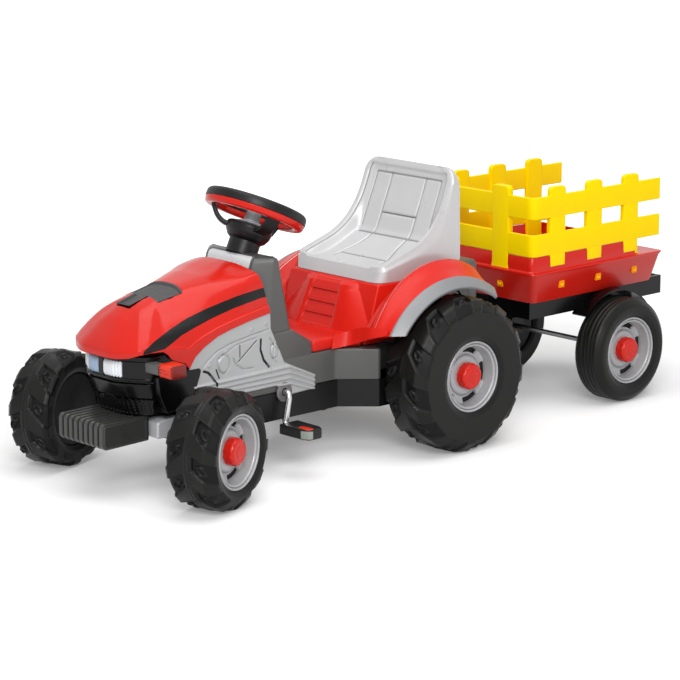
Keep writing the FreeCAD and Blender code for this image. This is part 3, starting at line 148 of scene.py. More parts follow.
def spline(points: Points, count: int) -> Array:
    """Smooth curve through points: a Catmull-Rom cubic on each span.

    Args:
        points: the points it passes, in order.
        count: how many points to return.

    Returns:
        Array of count points.
    """
    given = np.asarray(points, float)
    given = np.vstack([2 * given[0] - given[1], given, 2 * given[-1] - given[-2]])
    t = np.linspace(0.0, len(points) - 1.0, count)
    i = np.minimum(t.astype(int), len(points) - 2)
    f = (t - i)[:, None]
    a, b, c, d = given[i], given[i + 1], given[i + 2], given[i + 3]
    bend = (2 * a - 5 * b + 4 * c - d) * f**2 + (3 * b - 3 * c + d - a) * f**3
    return 0.5 * (2 * b + (c - a) * f + bend)


def resample(path: Array, count: int) -> Array:
    """The same path in equal steps of length."""
    run = np.concatenate([[0.0], np.cumsum(np.linalg.norm(np.diff(path, axis=0), axis=1))])
    at = np.linspace(0.0, run[-1], count)
    return np.stack([np.interp(at, run, column) for column in path.T], axis=1)


def rounded(corners: Points, radius: float | list[float], steps: int = 6) -> Array:
    """Closed outline with an arc at each corner, tangent to the two sides there.

    Args:
        corners: the sharp outline.
        radius: one radius, or one for each corner.
        steps: points in each arc.

    Returns:
        Array of outline points.
    """
    points = np.asarray(corners, float)
    radii = np.maximum(np.broadcast_to(np.asarray(radius, float), len(points)), 0.05)
    back = np.roll(points, 1, axis=0) - points
    ahead = np.roll(points, -1, axis=0) - points
    room = 0.48 * np.minimum(np.linalg.norm(back, axis=1), np.linalg.norm(ahead, axis=1))
    back /= np.linalg.norm(back, axis=1)[:, None]
    ahead /= np.linalg.norm(ahead, axis=1)[:, None]
    half = 0.5 * np.arccos(np.clip((back * ahead).sum(axis=1), -0.99999, 0.99999))
    reach = np.minimum(radii / np.tan(half), room)
    radii = reach * np.tan(half)
    middle = back + ahead
    middle *= (radii / np.sin(half) / np.linalg.norm(middle, axis=1))[:, None]
    start = back * reach[:, None] - middle
    end = ahead * reach[:, None] - middle
    first = np.arctan2(start[:, 1], start[:, 0])
    turn = np.arctan2(end[:, 1], end[:, 0]) - first
    turn = (turn + np.pi) % (2 * np.pi) - np.pi
    angle = first[:, None] + turn[:, None] * np.linspace(0.0, 1.0, steps)
    arcs = radii[:, None, None] * np.stack([np.cos(angle), np.sin(angle)], axis=-1)
    return (points[:, None] + middle[:, None] + arcs).reshape(-1, 2)


def grown(outline: Array, by: float) -> Array:
    """Closed outline moved outwards by a distance along its mitred corners."""
    ahead = np.roll(outline, -1, axis=0) - outline
    ahead = ahead / np.maximum(np.linalg.norm(ahead, axis=1), 1e-9)[:, None]
    following = np.roll(outline, -1, axis=0)
    turning = np.sign(np.sum(outline[:, 0] * following[:, 1] - following[:, 0] * outline[:, 1]))
    normal = turning * np.stack([ahead[:, 1], -ahead[:, 0]], axis=1)
    behind = np.roll(normal, 1, axis=0)
    lean = np.maximum(1.0 + (normal * behind).sum(axis=1), 0.4)
    return outline + by * (normal + behind) / lean[:, None]


def carried(rings: Array, levels: Array, axis: Axis) -> Array:
    """Flat rings (n, m, 2) set at their levels along an axis, as points (n, m, 3)."""
    height = np.broadcast_to(np.asarray(levels, float)[:, None], rings.shape[:2])
    return np.insert(rings, axis.value, height, axis=2)


def soft_prism(outline: Array, axis: Axis, low: float, high: float, edge: float) -> Array:
    """Outline carried along an axis, with quarter-round edges at both ends.

    Along each end the ring stands edge·(1 − cos a) in from the end and is drawn in by
    edge·(1 − sin a), for a from 0 to a right angle.
    """
    angle = np.linspace(0.0, np.pi / 2, 5)
    rise = edge * (1.0 - np.cos(angle))
    inset = edge * (1.0 - np.sin(angle))
    levels = np.concatenate([low + rise, high - rise[::-1]])
    rings = np.stack([grown(outline, -by) for by in np.concatenate([inset, inset[::-1]])])
    return carried(rings, levels, axis)


def tube(path: Array, section: Array, up: Place = (0.0, 0.0, 1.0)) -> Array:
    """Section (sideways, upward) carried along a path, square to it, as rings."""
    tangent = np.gradient(path, axis=0)
    sideways = np.cross(tangent, np.asarray(up, float))
    sideways /= np.linalg.norm(sideways, axis=1)[:, None]
    lift = np.cross(sideways, tangent)
    lift /= np.linalg.norm(lift, axis=1)[:, None]
    section = np.broadcast_to(section, (len(path), *section.shape[-2:]))
    return path[:, None] + section[..., :1] * sideways[:, None] + section[..., 1:] * lift[:, None]


def box_outline(low: tuple[float, float], high: tuple[float, float], radius: float) -> Array:
    """Rectangle between two corners, with rounded corners."""
    return rounded([low, (high[0], low[1]), high, (low[0], high[1])], radius)


def linear(text: str) -> tuple[float, float, float, float]:
    """Linear colour of an sRGB hex value."""
    part = np.array([int(text[i : i + 2], 16) for i in (1, 3, 5)]) / 255.0
    value = np.where(part <= 0.04045, part / 12.92, ((part + 0.055) / 1.055) ** 2.4)
    return (*value.tolist(), 1.0)


def node(tree: Tree, kind: str, sockets: dict | None = None, **settings) -> bpy.types.Node:
    """Adds a node, sets its properties, and fills or links its sockets.

    Args:
        tree: the tree that gets it.
        kind: Blender's name for the node.
        sockets: values, or output sockets to link, by the input's name or number.
        settings: the node's own properties.

    Returns:
        The new node.
    """
    made = tree.nodes.new(kind)
    for key, value in settings.items():
        setattr(made, key, value)
    for key, value in (sockets or {}).items():
        if isinstance(value, Socket):
            tree.links.new(value, made.inputs[key])
        else:
            made.inputs[key].default_value = value
    return made


def blank(owner: bpy.types.Material | bpy.types.World) -> Tree:
    """The owner's node tree, emptied."""
    owner.use_nodes = True
    owner.node_tree.nodes.clear()
    return owner.node_tree


def linked(name: str, data: bpy.types.ID) -> bpy.types.Object:
    """A new object of that data, in the scene."""
    made = bpy.data.objects.new(name, data)
    bpy.context.scene.collection.objects.link(made)
    return made


@dataclass(frozen=True)
class Finish:
    """One real material and the way its surface was made.

    Attributes:
        name: the material's common name and how it was made.
        slot: the record's material slot; not used.
        colour: sRGB hex of the surface.
        roughness: middle roughness, which wanders by a fifth.
        metallic: share of metal, part for plastic with metal flakes.
        second: sRGB hex where the piece's mark is above 0, or nothing.
        second_roughness: roughness there.
        wander: how far the colour drifts over the piece.
        cloud_mm: size of that drift.
        grain_mm: size of the surface's grain.
        grain: strength of the grain's relief.
        specular: strength of the surface's own mirror.
    """

    name: str
    slot: str
    colour: str
    roughness: float
    metallic: float = 0.0
    second: str = ""
    second_roughness: float = 0.4
    wander: float = 0.05
    cloud_mm: float = 45.0
    grain_mm: float = 1.6
    grain: float = 0.04
    specular: float = 0.4

    def shades(self, colour: str) -> tuple[tuple, tuple]:
        """A darker and a lighter linear shade of a colour."""
        base = np.array(linear(colour)[:3])
        low, high = base * (1.0 - self.wander), np.minimum(base * (1.0 + self.wander), 1.0)
        return (*low.tolist(), 1.0), (*high.tolist(), 1.0)

    def material(self) -> bpy.types.Material:
        """The Blender material of this finish, made once."""
        made = bpy.data.materials.get(self.name)
        if made:
            return made
        made = bpy.data.materials.new(self.name)
        tree = blank(made)
        where = node(tree, "ShaderNodeTexCoord").outputs["Object"]
        drawn = {"Vector": where, "Scale": 1.0 / (self.cloud_mm * MM), "Detail": 4.0}
        cloud = node(tree, "ShaderNodeTexNoise", drawn).outputs["Fac"]
        colour = self.drift(tree, cloud, self.colour)
        rough = self.spread(tree, cloud, self.roughness)
        if self.second:
            mark = node(tree, "ShaderNodeAttribute", attribute_name="mark").outputs["Fac"]
            above = {0: mark, 1: 0.0}
            inside = node(tree, "ShaderNodeMath", above, operation="GREATER_THAN").outputs["Value"]
            tints = {0: inside, 6: colour, 7: self.drift(tree, cloud, self.second)}
            colour = node(tree, "ShaderNodeMix", tints, data_type="RGBA").outputs[2]
            roughs = {0: inside, 2: rough, 3: self.spread(tree, cloud, self.second_roughness)}
            rough = node(tree, "ShaderNodeMix", roughs).outputs[0]
        drawn = {"Vector": where, "Scale": 1.0 / (self.grain_mm * MM), "Detail": 2.0}
        grit = node(tree, "ShaderNodeTexNoise", drawn).outputs["Fac"]
        raised = {"Height": grit, "Strength": self.grain, "Distance": self.grain_mm * MM}
        look = {
            "Base Color": colour,
            "Roughness": rough,
            "Normal": node(tree, "ShaderNodeBump", raised).outputs["Normal"],
            "Metallic": self.metallic,
            "Specular IOR Level": self.specular,
        }
        shader = node(tree, "ShaderNodeBsdfPrincipled", look).outputs["BSDF"]
        node(tree, "ShaderNodeOutputMaterial", {"Surface": shader})
        return made

    def drift(self, tree: Tree, cloud: Socket, colour: str) -> Socket:
        """Colour that wanders between its two shades with the cloud."""
        low, high = self.shades(colour)
        return node(tree, "ShaderNodeMix", {0: cloud, 6: low, 7: high}, data_type="RGBA").outputs[2]

    def spread(self, tree: Tree, cloud: Socket, middle: float) -> Socket:
        """Roughness that wanders by a fifth of its middle with the cloud."""
        limits = {"Value": cloud, "From Min": 0.3, "From Max": 0.7}
        limits |= {"To Min": middle * 0.8, "To Max": min(middle * 1.2, 1.0)}
        return node(tree, "ShaderNodeMapRange", limits).outputs["Result"]


# Polyethylene blown into a polished mould: a deep gloss with a slow waver in the reflections
RED = Finish("blow-moulded red polyethylene", "red_plastic", "#C81E12", 0.22, specular=0.25)
# The same red with a printed black flash along its side
RED_FLASH = Finish(
    "red polyethylene with black print", "red_plastic", "#C81E12", 0.2, second="#0A0A0B",
    second_roughness=0.25, specular=0.25,
)
# The same red with a printed white line
RED_LINED = Finish(
    "red polyethylene with white print", "red_plastic", "#CC1E12", 0.32, second="#F4F2EE",
    specular=0.22,
)
# Polypropylene with metal flakes: dark grey with a soft broad sheen
GREY = Finish(
    "flake-filled dark grey polypropylene", "grey_plastic", "#555554", 0.38, 0.2, wander=0.08,
    grain_mm=1.2, grain=0.06, specular=0.35,
)
# The dashboard: the same grey round a bare silver panel
GREY_PANEL = Finish(
    "dark grey polypropylene with silver panel", "grey_plastic", "#545453", 0.38, 0.15,
    second="#DADBDD", second_roughness=0.3, wander=0.06, specular=0.35,
)
# Lighter flake-filled plastic of the mudguard trims
TRIM = Finish("flake-filled mid grey polypropylene", "grey_plastic", "#828385", 0.4, 0.2, wander=0.06)
# Cast-look charcoal of the weights: nearly black faces with a grey bloom along the edges
CHARCOAL = Finish(
    "moulded charcoal polypropylene", "grey_plastic", "#333332", 0.34, 0.1, wander=0.1, specular=0.5
)
# Silver-pigmented polypropylene: pale, satin, with a fine moulded grain
SILVER = Finish(
    "satin silver polypropylene", "silver_plastic", "#BFC0C3", 0.36, 0.2, wander=0.05,
    grain_mm=1.0, grain=0.05,
)
# The seat: the same silver, with painted shade in the moulded grooves and along a thin line inside the bead
SEAT_SILVER_GROOVE_SHADE = Finish(
    "satin silver seat polypropylene", "silver_plastic", "#C0C0C1", 0.34, 0.15, second="#8E8E90",
    second_roughness=0.5, wander=0.05, grain_mm=1.0, grain=0.05,
)
# The engine panels: silver, with painted shade in the shallow slots where the dark behind them would show
SILVER_SLOT_SHADE = Finish(
    "silver polypropylene with slots", "silver_plastic", "#A9AAAB", 0.4, 0.15, second="#0D0D0E",
    second_roughness=0.6, wander=0.06,
)
# Wheel rims: silver, with painted shade in the sunk slots standing in for the dark seen through them
RIM = Finish(
    "injection-moulded silver rim plastic", "silver_plastic", "#A4A5A7", 0.34, 0.2,
    second="#0A0A0B", second_roughness=0.6,
)
# Gloss black ABS: mirror-like with a faint ripple
BLACK_GLOSS = Finish(
    "gloss black ABS", "black_plastic", "#060607", 0.25, wander=0.1, grain_mm=3.0, grain=0.02,
    specular=0.22,
)
# Satin black polypropylene of the hidden frames: grey bloom where it catches the light
BLACK = Finish(
    "satin black polypropylene", "black_plastic", "#0E0E0F", 0.42, wander=0.15, grain=0.08, specular=0.25
)
# Blown black polyethylene tyres: hard, slightly shiny, with moulding grain, and painted shade in the tread's
# pockets and grooves
TYRE_HOLLOW_SHADE = Finish(
    "blow-moulded black polyethylene tyre", "tyre_plastic", "#141413", 0.36, second="#050505",
    second_roughness=0.5, wander=0.14, cloud_mm=30.0, grain_mm=1.8, grain=0.06, specular=0.18,
)
# Yellow polypropylene: bright, with a satin gloss and orange latches
YELLOW_LATCH = Finish(
    "yellow polypropylene with orange latches", "yellow_plastic", "#FFD800", 0.36, second="#F08A00",
    specular=0.08,
)
# Frosted acrylic: milky white, ribbed inside
FROST = Finish(
    "frosted acrylic lens", "clear_lens", "#E6EAF0", 0.22, second="#9FB4CF", wander=0.06, cloud_mm=9.0,
    grain_mm=5.0, grain=0.25,
)
# Orange-red acrylic with a darker recess
AMBER = Finish(
    "orange-red acrylic lens", "amber_lens", "#DE3418", 0.22, second="#7A1208",
    second_roughness=0.3, wander=0.08,
)
# Nickel-plated steel rod: a mirror with a slight haze
CHROME = Finish("nickel-plated steel rod", "chrome_rod", "#C6C6C8", 0.26, 1.0, grain=0.01, specular=0.5)
# Drawn steel: grey, brushed lengthwise
STEEL = Finish("drawn steel", "steel", "#97979A", 0.36, 1.0, wander=0.1, specular=0.5)
# Black ABS of the pedals, with a pale reflector let into the outer half
PEDAL = Finish(
    "black ABS with pale reflector", "black_plastic", "#151516", 0.35, second="#8C938C",
    second_roughness=0.3, wander=0.1, specular=0.3,
)
# Grey nylon bushes with painted shade in the bore
BUSH_BORE_SHADE = Finish(
    "turned grey nylon", "grey_plastic", "#6E6C6B", 0.35, second="#0C0C0D", second_roughness=0.6, wander=0.08
)
# Ribbed dark grey intake with a black rim
VENT = Finish(
    "ribbed dark grey ABS", "grey_plastic", "#4A4A4B", 0.45, second="#0C0C0D", second_roughness=0.35,
    wander=0.08, specular=0.3,
)


class Shell:
    """Gathers the faces of one piece in millimetres and makes one mesh of them."""

    def __init__(self, name: str) -> None:
        """Starts an empty piece of that name."""
        self.name = name
        self.points: list[Array] = []
        self.marks: list[Array] = []
        self.faces: list[list[int]] = []
        self.count = 0

    def add(self, points: Array, faces: list[list[int]], mark: Array | float) -> None:
        """Adds points (any shape, 3), the faces between them and their marks."""
        flat = points.reshape(-1, 3)
        self.faces += [[self.count + i for i in face] for face in faces]
        self.points.append(flat)
        self.marks.append(np.broadcast_to(np.asarray(mark, float), points.shape[:-1]).reshape(-1))
        self.count += len(flat)

    @staticmethod
    def quads(index: Array) -> list[list[int]]:
        """Faces between neighbours of a grid of point numbers."""
        square = [index[:-1, :-1], index[1:, :-1], index[1:, 1:], index[:-1, 1:]]
        return np.stack(square, axis=-1).reshape(-1, 4).tolist()

    @staticmethod
    def numbers(points: Array) -> Array:
        """Numbers of a grid's points, as a grid."""
        return np.arange(points.shape[0] * points.shape[1]).reshape(points.shape[:2])

    def grid(
        self, points: Array, mark: Array | float = -1.0, wrap: tuple[bool, bool] = (True, False)
    ) -> None:
        """Adds a grid of points (n, m, 3), closed round either way where wrap says so."""
        index = np.pad(self.numbers(points), ((0, int(wrap[0])), (0, int(wrap[1]))), mode="wrap")
        self.add(points, self.quads(index), mark)

    def rings(self, points: Array, mark: Array | float = -1.0) -> None:
        """Adds closed rings (n, m, 3) joined in order, with a flat face over each end."""
        index = self.numbers(points)
        faces = self.quads(np.pad(index, ((0, 0), (0, 1)), mode="wrap"))
        self.add(points, faces + [index[0].tolist(), index[-1].tolist()], mark)

    def prism(
        self, outline: Array, axis: Axis, ends: tuple[float, float], edge: float, mark: float = -1.0
    ) -> None:
        """Adds an outline carried along an axis from end to end, with soft edges."""
        self.rings(soft_prism(outline, axis, min(ends), max(ends), edge), mark)

    def sheet(self, outer: Array, thick: float, mark: Array | float = -1.0, spine: bool = False) -> None:
        """Adds a wall: a grid, its copy drawn in along the normals, and the rim between.

        Args:
            outer: the outer face as a grid of points.
            thick: how far the copy is drawn in.
            mark: the outer face's marks.
            spine: whether the first column is a fold in the middle, level and without a rim.
        """
        normal = np.cross(np.gradient(outer, axis=0), np.gradient(outer, axis=1))
        normal /= np.maximum(np.linalg.norm(normal, axis=2), 1e-9)[..., None]
        outward = np.sum(normal * (outer - outer.mean(axis=(0, 1))))
        normal = normal if outward > 0 else -normal
        if spine:
            normal[:, 0] = (0.0, 0.0, 1.0)
        inner = outer - normal * thick
        index = self.numbers(outer)
        border = [index[0], index[1:, -1], index[-1, -2::-1]]
        loop = np.concatenate(border if spine else [*border, index[-2::-1, 0]])
        far = index.size
        faces = self.quads(index) + self.quads(index + far) + self.quads(np.stack([loop, loop + far]))
        marks = np.stack([np.broadcast_to(mark, outer.shape[:2]), np.full(outer.shape[:2], -1.0)])
        self.add(np.stack([outer, inner]), faces, marks)

    def build(self, finish: Finish, sharp_deg: float) -> bpy.types.Object:
        """Makes the mesh: doubles merged, faces turned outwards, flat edges kept sharp."""
        mesh = bpy.data.meshes.new(self.name)
        mesh.from_pydata(place(np.concatenate(self.points)).tolist(), [], self.faces)
        layer = mesh.attributes.new("mark", "FLOAT", "POINT")
        layer.data.foreach_set("value", np.concatenate(self.marks))
        work = bmesh.new()
        work.from_mesh(mesh)
        bmesh.ops.remove_doubles(work, verts=work.verts, dist=MERGE_M)
        bmesh.ops.recalc_face_normals(work, faces=work.faces)
        work.to_mesh(mesh)
        work.free()
        mesh.shade_smooth()
        mesh.set_sharp_from_angle(angle=math.radians(sharp_deg))
        mesh.materials.append(finish.material())
        return linked(self.name, mesh)


def settle(shell: Shell, finish: Finish, *nodes: str, sharp_deg: float = 34.0) -> None:
    """Builds a piece, lets it ride on its nodes' body and stand for them.

    Args:
        shell: the gathered faces.
        finish: what it is made of.
        nodes: the frame's nodes that it stands for, the first of which carries it.
        sharp_deg: edges that turn by more than this stay sharp.
    """
    piece = shell.build(finish, sharp_deg)
    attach(piece, frame["nodes"][nodes[0]]["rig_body"])
    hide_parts(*nodes)
    LOG.info("%s: %d faces, %s", piece.name, len(piece.data.polygons), finish.name)


def dress(finish: Finish, *nodes: str) -> None:
    """Gives nodes of the frame that show as they are their finish."""
    for name in nodes:
        solid = frame["nodes"][name]
        if not solid.material_slots:
            solid.data.materials.append(None)
        for slot in solid.material_slots:
            slot.material = finish.material()
        LOG.info("%s: frame node, %s", name, finish.name)


@dataclass
class Wheel:
    """One wheel drawn about its axle: tyre, rim and cap."""

    name: str
    side: Side
    forward: float
    across: float
    radius: float
    width: float
    lugs: int = 0
    turn_deg: float = 0.0
    lug_steps: int = 48
    plain_steps: int = 120
    kingpin: tuple[float, float] = (574.0, 180.0)
    bead: float = 65.3
    lip: float = 5.0
    pocket_depth: float = 4.6
    cap_radius: float = 24.0
    cap_proud: float = 1.5
    boss: float = 18.0

    def put(self, angle: Array, reach: Array, out: Array) -> Array:
        """Points at a wheel angle, a reach from the axle and a distance out, in place."""
        sign, (pin_x, pin_y) = self.side.value, self.kingpin
        from_x = self.forward + reach * np.cos(angle) - pin_x
        from_y = sign * (self.across + out - pin_y)
        cos, sin = math.cos(math.radians(self.turn_deg)), math.sin(math.radians(self.turn_deg))
        x, y = pin_x + from_x * cos - from_y * sin, sign * pin_y + from_x * sin + from_y * cos
        return joined(x, y, self.radius + reach * np.sin(angle))

    def loop(self) -> Array:
        """Closed section of the tyre as (out, reach): beads, walls, shoulders and crown."""
        half, top, bead = self.width / 2, self.radius, self.bead
        outer, inner = (15.0, 7.0) if self.lugs else (11.0, 8.0)
        wall = [(half - self.lip, bead), (half - 1.0, bead + 9.0)]
        right = wall + [(half, top - outer - 3.0), (half - outer, top - 1.0)]
        left = [(inner - half, top - 1.0), (-half, top - inner)]
        left += [(-out, reach) for out, reach in wall[::-1]]
        outline = rounded(right + left, [1.5, 7.0, 12.0, 9.0, 5.0, 5.0, 7.0, 1.5], 8)
        outline = np.vstack([outline, outline[:1]])
        return resample(outline, 140 if self.lugs else 96)[:-1]

    def relief(self, angle: Array, out: Array, reach: Array) -> tuple[Array, Array]:
        """Height of the tread, and the mark of its hollows that paints shade into them: pockets with a ring in
        each.

        A pocket is where the distance from its middle line, counted in lugs along the
        tread and slanted with the distance out, is less than a half width that grows
        outwards. A thin ridge runs round it, and the middle carries two ribs. A tyre
        without lugs has four grooves.
        """
        tread = smooth(self.radius - 27.0, self.radius - 15.0, reach)
        if not self.lugs:
            groove = tread * sum(hump(out, at, 1.5) for at in (-14.0, -5.0, 5.0, 14.0)) + 0.0 * angle
            # Painted shade: the grooves' mark gives them the tyre's near-black second colour
            return -1.8 * groove, groove - 0.5
        half = self.width / 2
        share = np.clip((np.abs(out) - 6.5) / (half - 6.5), 0.0, 1.0)
        phase = angle * self.lugs / (2 * np.pi) + 0.42 * share + np.where(out > 0, 0.5, 0.0)
        off = phase - np.floor(phase) - 0.5
        pitch = 2 * np.pi * self.radius / self.lugs
        inside = np.minimum((0.20 + 0.14 * share - np.abs(off)) * pitch, share * (half - 6.5) - 1.0)
        pocket = smooth(0.0, 1.8, inside)
        ring = np.hypot(off * pitch, np.abs(out) - 6.5 - 0.50 * (half - 6.5))
        ring = smooth(0.0, 0.8, 1.9 - np.abs(ring - 7.0))
        ribs = 0.9 * hump(np.abs(out), 3.2, 1.3) + 0.8 * hump(inside, -1.6, 1.0)
        height = tread * (ribs - self.pocket_depth * pocket + 3.2 * ring * pocket)
        # Painted shade: the mark darkens the pocket floors outside the raised rings
        return height, tread * pocket * (1.0 - ring) - 0.55

    def tyre(self) -> None:
        """The closed section carried round the axle, with the tread's relief."""
        out, reach = self.loop().T
        angle = around(self.lug_steps * self.lugs or self.plain_steps)
        height, mark = self.relief(angle, out, reach)
        shell = Shell(f"{self.name}_tyre_skin")
        shell.grid(self.put(angle, reach + height, out), mark, wrap=(True, True))
        settle(shell, TYRE_HOLLOW_SHADE, f"{self.name}_tyre", sharp_deg=60.0)

    def rim(self) -> None:
        """Dish turned about the axle, with long slots sunk round a raised boss."""
        face = self.width / 2 - self.lip
        drop = -self.boss
        dish = [
            (0.0, drop), (29.0, drop), (33.0, drop - 0.6), (36.0, drop - 2.5), (37.6, drop - 5.5),
            (39.5, drop - 6.0), (46.0, drop - 5.5), (51.0, drop - 3.0), (53.5, -12.0), (55.0, -4.2),
            (56.4, -2.2), (58.4, -2.0), (59.2, -4.6), (60.0, -4.6), (60.8, -0.4), (62.6, 0.9),
            (64.2, 0.2), (65.0, -2.5),
        ]
        front = resample(np.array(dish), 120)
        back = np.array([(65.0, 4.0 - 2 * face), (60.0, -2 * face), (0.0, -2 * face)])
        reach, out = np.vstack([front, back]).T
        angle = around(200)
        fifth = np.abs((angle * 5 / (2 * np.pi)) % 1.0 - 0.5) * 2 * np.pi / 5 * 46.0
        slot = np.minimum(16.0 - fifth, 4.4 - np.abs(reach - 46.5))
        slot = np.where(out > -1.6 * face, slot, 5.0)
        out = out - 6.0 * smooth(-0.6, 0.8, slot) * (out > -1.6 * face)
        shell = Shell(f"{self.name}_rim_dish")
        # Painted shade: the slot mark paints the shallow sunk slots near-black, as if they opened into the dark
        shell.grid(self.put(angle, reach, face + out), slot - 0.2)
        settle(shell, RIM, f"{self.name}_rim", sharp_deg=50.0)

    def cap(self) -> None:
        """Fluted red button on the end of the axle: a turned profile with a waved side."""
        face = self.width / 2 - self.lip
        r, top = self.cap_radius, self.cap_proud
        turned = [(0.0, top), (10.0, top - 0.2), (11.0, top - 1.0), (17.0, top - 0.6), (20.5, top - 1.4)]
        turned += [(23.0, top - 3.6), (r, top - 6.0), (r, 0.1 - self.boss), (0.0, 0.1 - self.boss)]
        reach, out = resample(np.array(turned), 60).T
        angle = around(144)
        flute = 0.7 * smooth(r - 3.0, r - 1.0, reach) * smooth(-0.2, 0.4, np.cos(12 * angle))
        shell = Shell(f"{self.name}_cap_button")
        shell.grid(self.put(angle, reach - flute, face + out))
        settle(shell, RED, f"{self.name}_cap", sharp_deg=50.0)

    def build(self) -> None:
        """All three pieces."""
        self.tyre()
        self.rim()
        self.cap()


@dataclass
class Bonnet:
    """The red bonnet shell and the ribbed intake set into it."""

    spine_end: float = 560.0
    thick: float = 3.0
    rear_lean: float = 22.0
    sink: float = 9.0
    bar: tuple[float, float] = (499.0, 556.0)
    bar_half: tuple[float, float] = (46.0, 43.0)
    bar_bow: float = 6.0
    stem_end: float = 597.5
    stem_half: float = 17.5
    rib_pitch: float = 5.0

    @staticmethod
    def ridge(x: Array) -> Array:
        """Height of the crown line."""
        return through(
            x, (340, 372), (383, 365), (450, 356), (507, 345), (560, 333.5), (597, 322), (630, 309), (660, 296)
        )

    @staticmethod
    def brim(x: Array) -> Array:
        """Height of the lower edge: arched over the engine, then up over the cheek."""
        return through(
            x, (353, 286), (402, 278), (442, 270), (472.5, 262), (502.5, 248), (522, 234), (535, 215.5),
            (543, 226), (560, 232), (571, 237), (578, 246), (587, 252), (613, 253), (633, 251), (645, 245),
            (654, 243),
        )

    @staticmethod
    def base(x: Array) -> Array:
        """Height on which the sections stand: the lower edge without its arch."""
        run = [(340, 288), (402, 278), (460, 265), (520, 250), (570, 246), (615, 250), (640, 246), (662, 243)]
        return np.interp(x, *spline(run, 200).T)

    @staticmethod
    def edge(count: int) -> Array:
        """Plan of the lower edge on the left, from the rear corner to the middle of the lip."""
        run = [
            (353, 98), (440, 98), (520, 98), (560, 95.5), (595, 92.5), (616, 91), (632, 86), (642, 74),
            (649, 61), (655, 48), (659, 33), (660, 16), (660, 0),
        ]
        return resample(spline(run, 900), count)

    @staticmethod
    def sections(count: int) -> list[Array]:
        """Sections at the rear, the side, the corner and the front, as (share out, share up)."""
        rear = [
            (0, 1), (0.4, 0.98), (0.66, 0.92), (0.80, 0.875), (0.90, 0.82), (0.96, 0.70), (0.98, 0.50),
            (0.99, 0.30), (0.992, 0.17), (1.02, 0.13), (1.022, 0),
        ]
        side = [
            (0, 0.972), (0.15, 0.97), (0.28, 0.955), (0.38, 0.925), (0.47, 0.87), (0.56, 0.78), (0.65, 0.68),
            (0.74, 0.585), (0.82, 0.49), (0.92, 0.35), (0.985, 0.18), (1.015, 0.155), (1.02, 0),
        ]
        corner = [
            (0, 0.972), (0.2, 0.966), (0.37, 0.93), (0.52, 0.85), (0.66, 0.735), (0.79, 0.575), (0.88, 0.43),
            (0.94, 0.32), (0.98, 0.22), (1, 0.15), (1, 0),
        ]
        front = [
            (0, 0.975), (0.2, 0.975), (0.37, 0.96), (0.5, 0.91), (0.6, 0.85), (0.72, 0.72), (0.82, 0.59),
            (0.90, 0.45), (0.95, 0.33), (0.985, 0.2), (1, 0),
        ]
        return [spline(run, count) for run in (rear, side, corner, front)]

    def surface(self) -> tuple[Array, Array]:
        """Points and marks of the outer face.

        A row runs from the spine out to the edge in plan, by the section's share out,
        and its height falls from the crown line's to the base's by the share up. The
        section eases from the rear's to the side's with the distance forward, then to
        the corner's and the front's with the row's heading.
        """
        edge_x, edge_y = self.edge(290).T
        spine = np.minimum(edge_x, self.spine_end)
        heading = np.degrees(np.arctan2(edge_x - spine, edge_y))
        rear, side, corner, front = self.sections(60)
        first = smooth(375.0, 535.0, edge_x)[:, None, None]
        second = smooth(2.0, 25.0, heading)[:, None, None]
        third = smooth(50.0, 85.0, heading)[:, None, None]
        row = between(between(rear, side, first), corner, second)
        out, up = np.moveaxis(between(row, front, third), 2, 0)
        x = between(spine[:, None], edge_x[:, None], out)
        y = edge_y[:, None] * out
        low = self.base(edge_x)[:, None]
        arch = (self.brim(edge_x)[:, None] - low) * (1 - smooth(0.0, 0.3, up))
        z = between(low, self.ridge(x), up) + arch
        lean = (self.rear_lean + 8.0 * (1 - out**2)) * (1 - smooth(353.0, 450.0, edge_x))[:, None]
        x = x + lean * np.clip(up, 0.0, 1.0)
        z = z - self.sink * smooth(-0.6, 0.6, self.opening(x, y))
        aside = 96.0 - y
        flat_x, flat_z = x + 0.927 * aside, z + 0.3077 * aside
        mark = np.minimum(self.flash_top(flat_x) - flat_z, flat_z - self.flash_low(flat_x))
        points = joined(x, y, z)
        far = mirrored(points[-2::-1], Side.RIGHT)
        return np.concatenate([points, far]), np.concatenate([mark, mark[-2::-1]])

    @staticmethod
    def flash_top(x: Array) -> Array:
        """Upper edge of the printed flash."""
        return through(
            x, (370, 331), (427, 325), (458, 320), (498, 313), (541, 302.5), (577, 289), (610, 273), (631, 260),
            (640, 240),
        )

    @staticmethod
    def flash_low(x: Array) -> Array:
        """Lower edge of the printed flash."""
        return through(
            x, (370, 314), (432, 305), (480, 295), (520, 284), (549, 275), (573, 263), (585, 257), (600, 256),
            (631, 254),
        )

    def crown(self, x: Array, y: Array) -> Array:
        """Height of the bonnet's top at a place near its middle."""
        _, side, _, front = self.sections(60)
        share = np.abs(y) / through(x, (520, 98), (560, 95.5), (600, 110))
        up = between(np.interp(share, *side.T), np.interp(share, *front.T), smooth(560.0, 600.0, x))
        return between(self.base(x), self.ridge(x), up)

    def opening(self, x: Array, y: Array) -> Array:
        """How far a place in plan is inside the T-shaped opening: a bowed bar and its stem."""
        across, (rear, front), (wide, narrow) = np.abs(y), self.bar, self.bar_half
        ends = np.minimum(x - rear - self.bar_bow * (y / wide) ** 2, front - x)
        bar = np.minimum(through(x, (rear + self.bar_bow, wide), (front, narrow)) - across, ends)
        stem = np.minimum(self.stem_half - across, np.minimum(self.stem_end - x, x - rear - 21.0))
        return np.maximum(bar, stem)

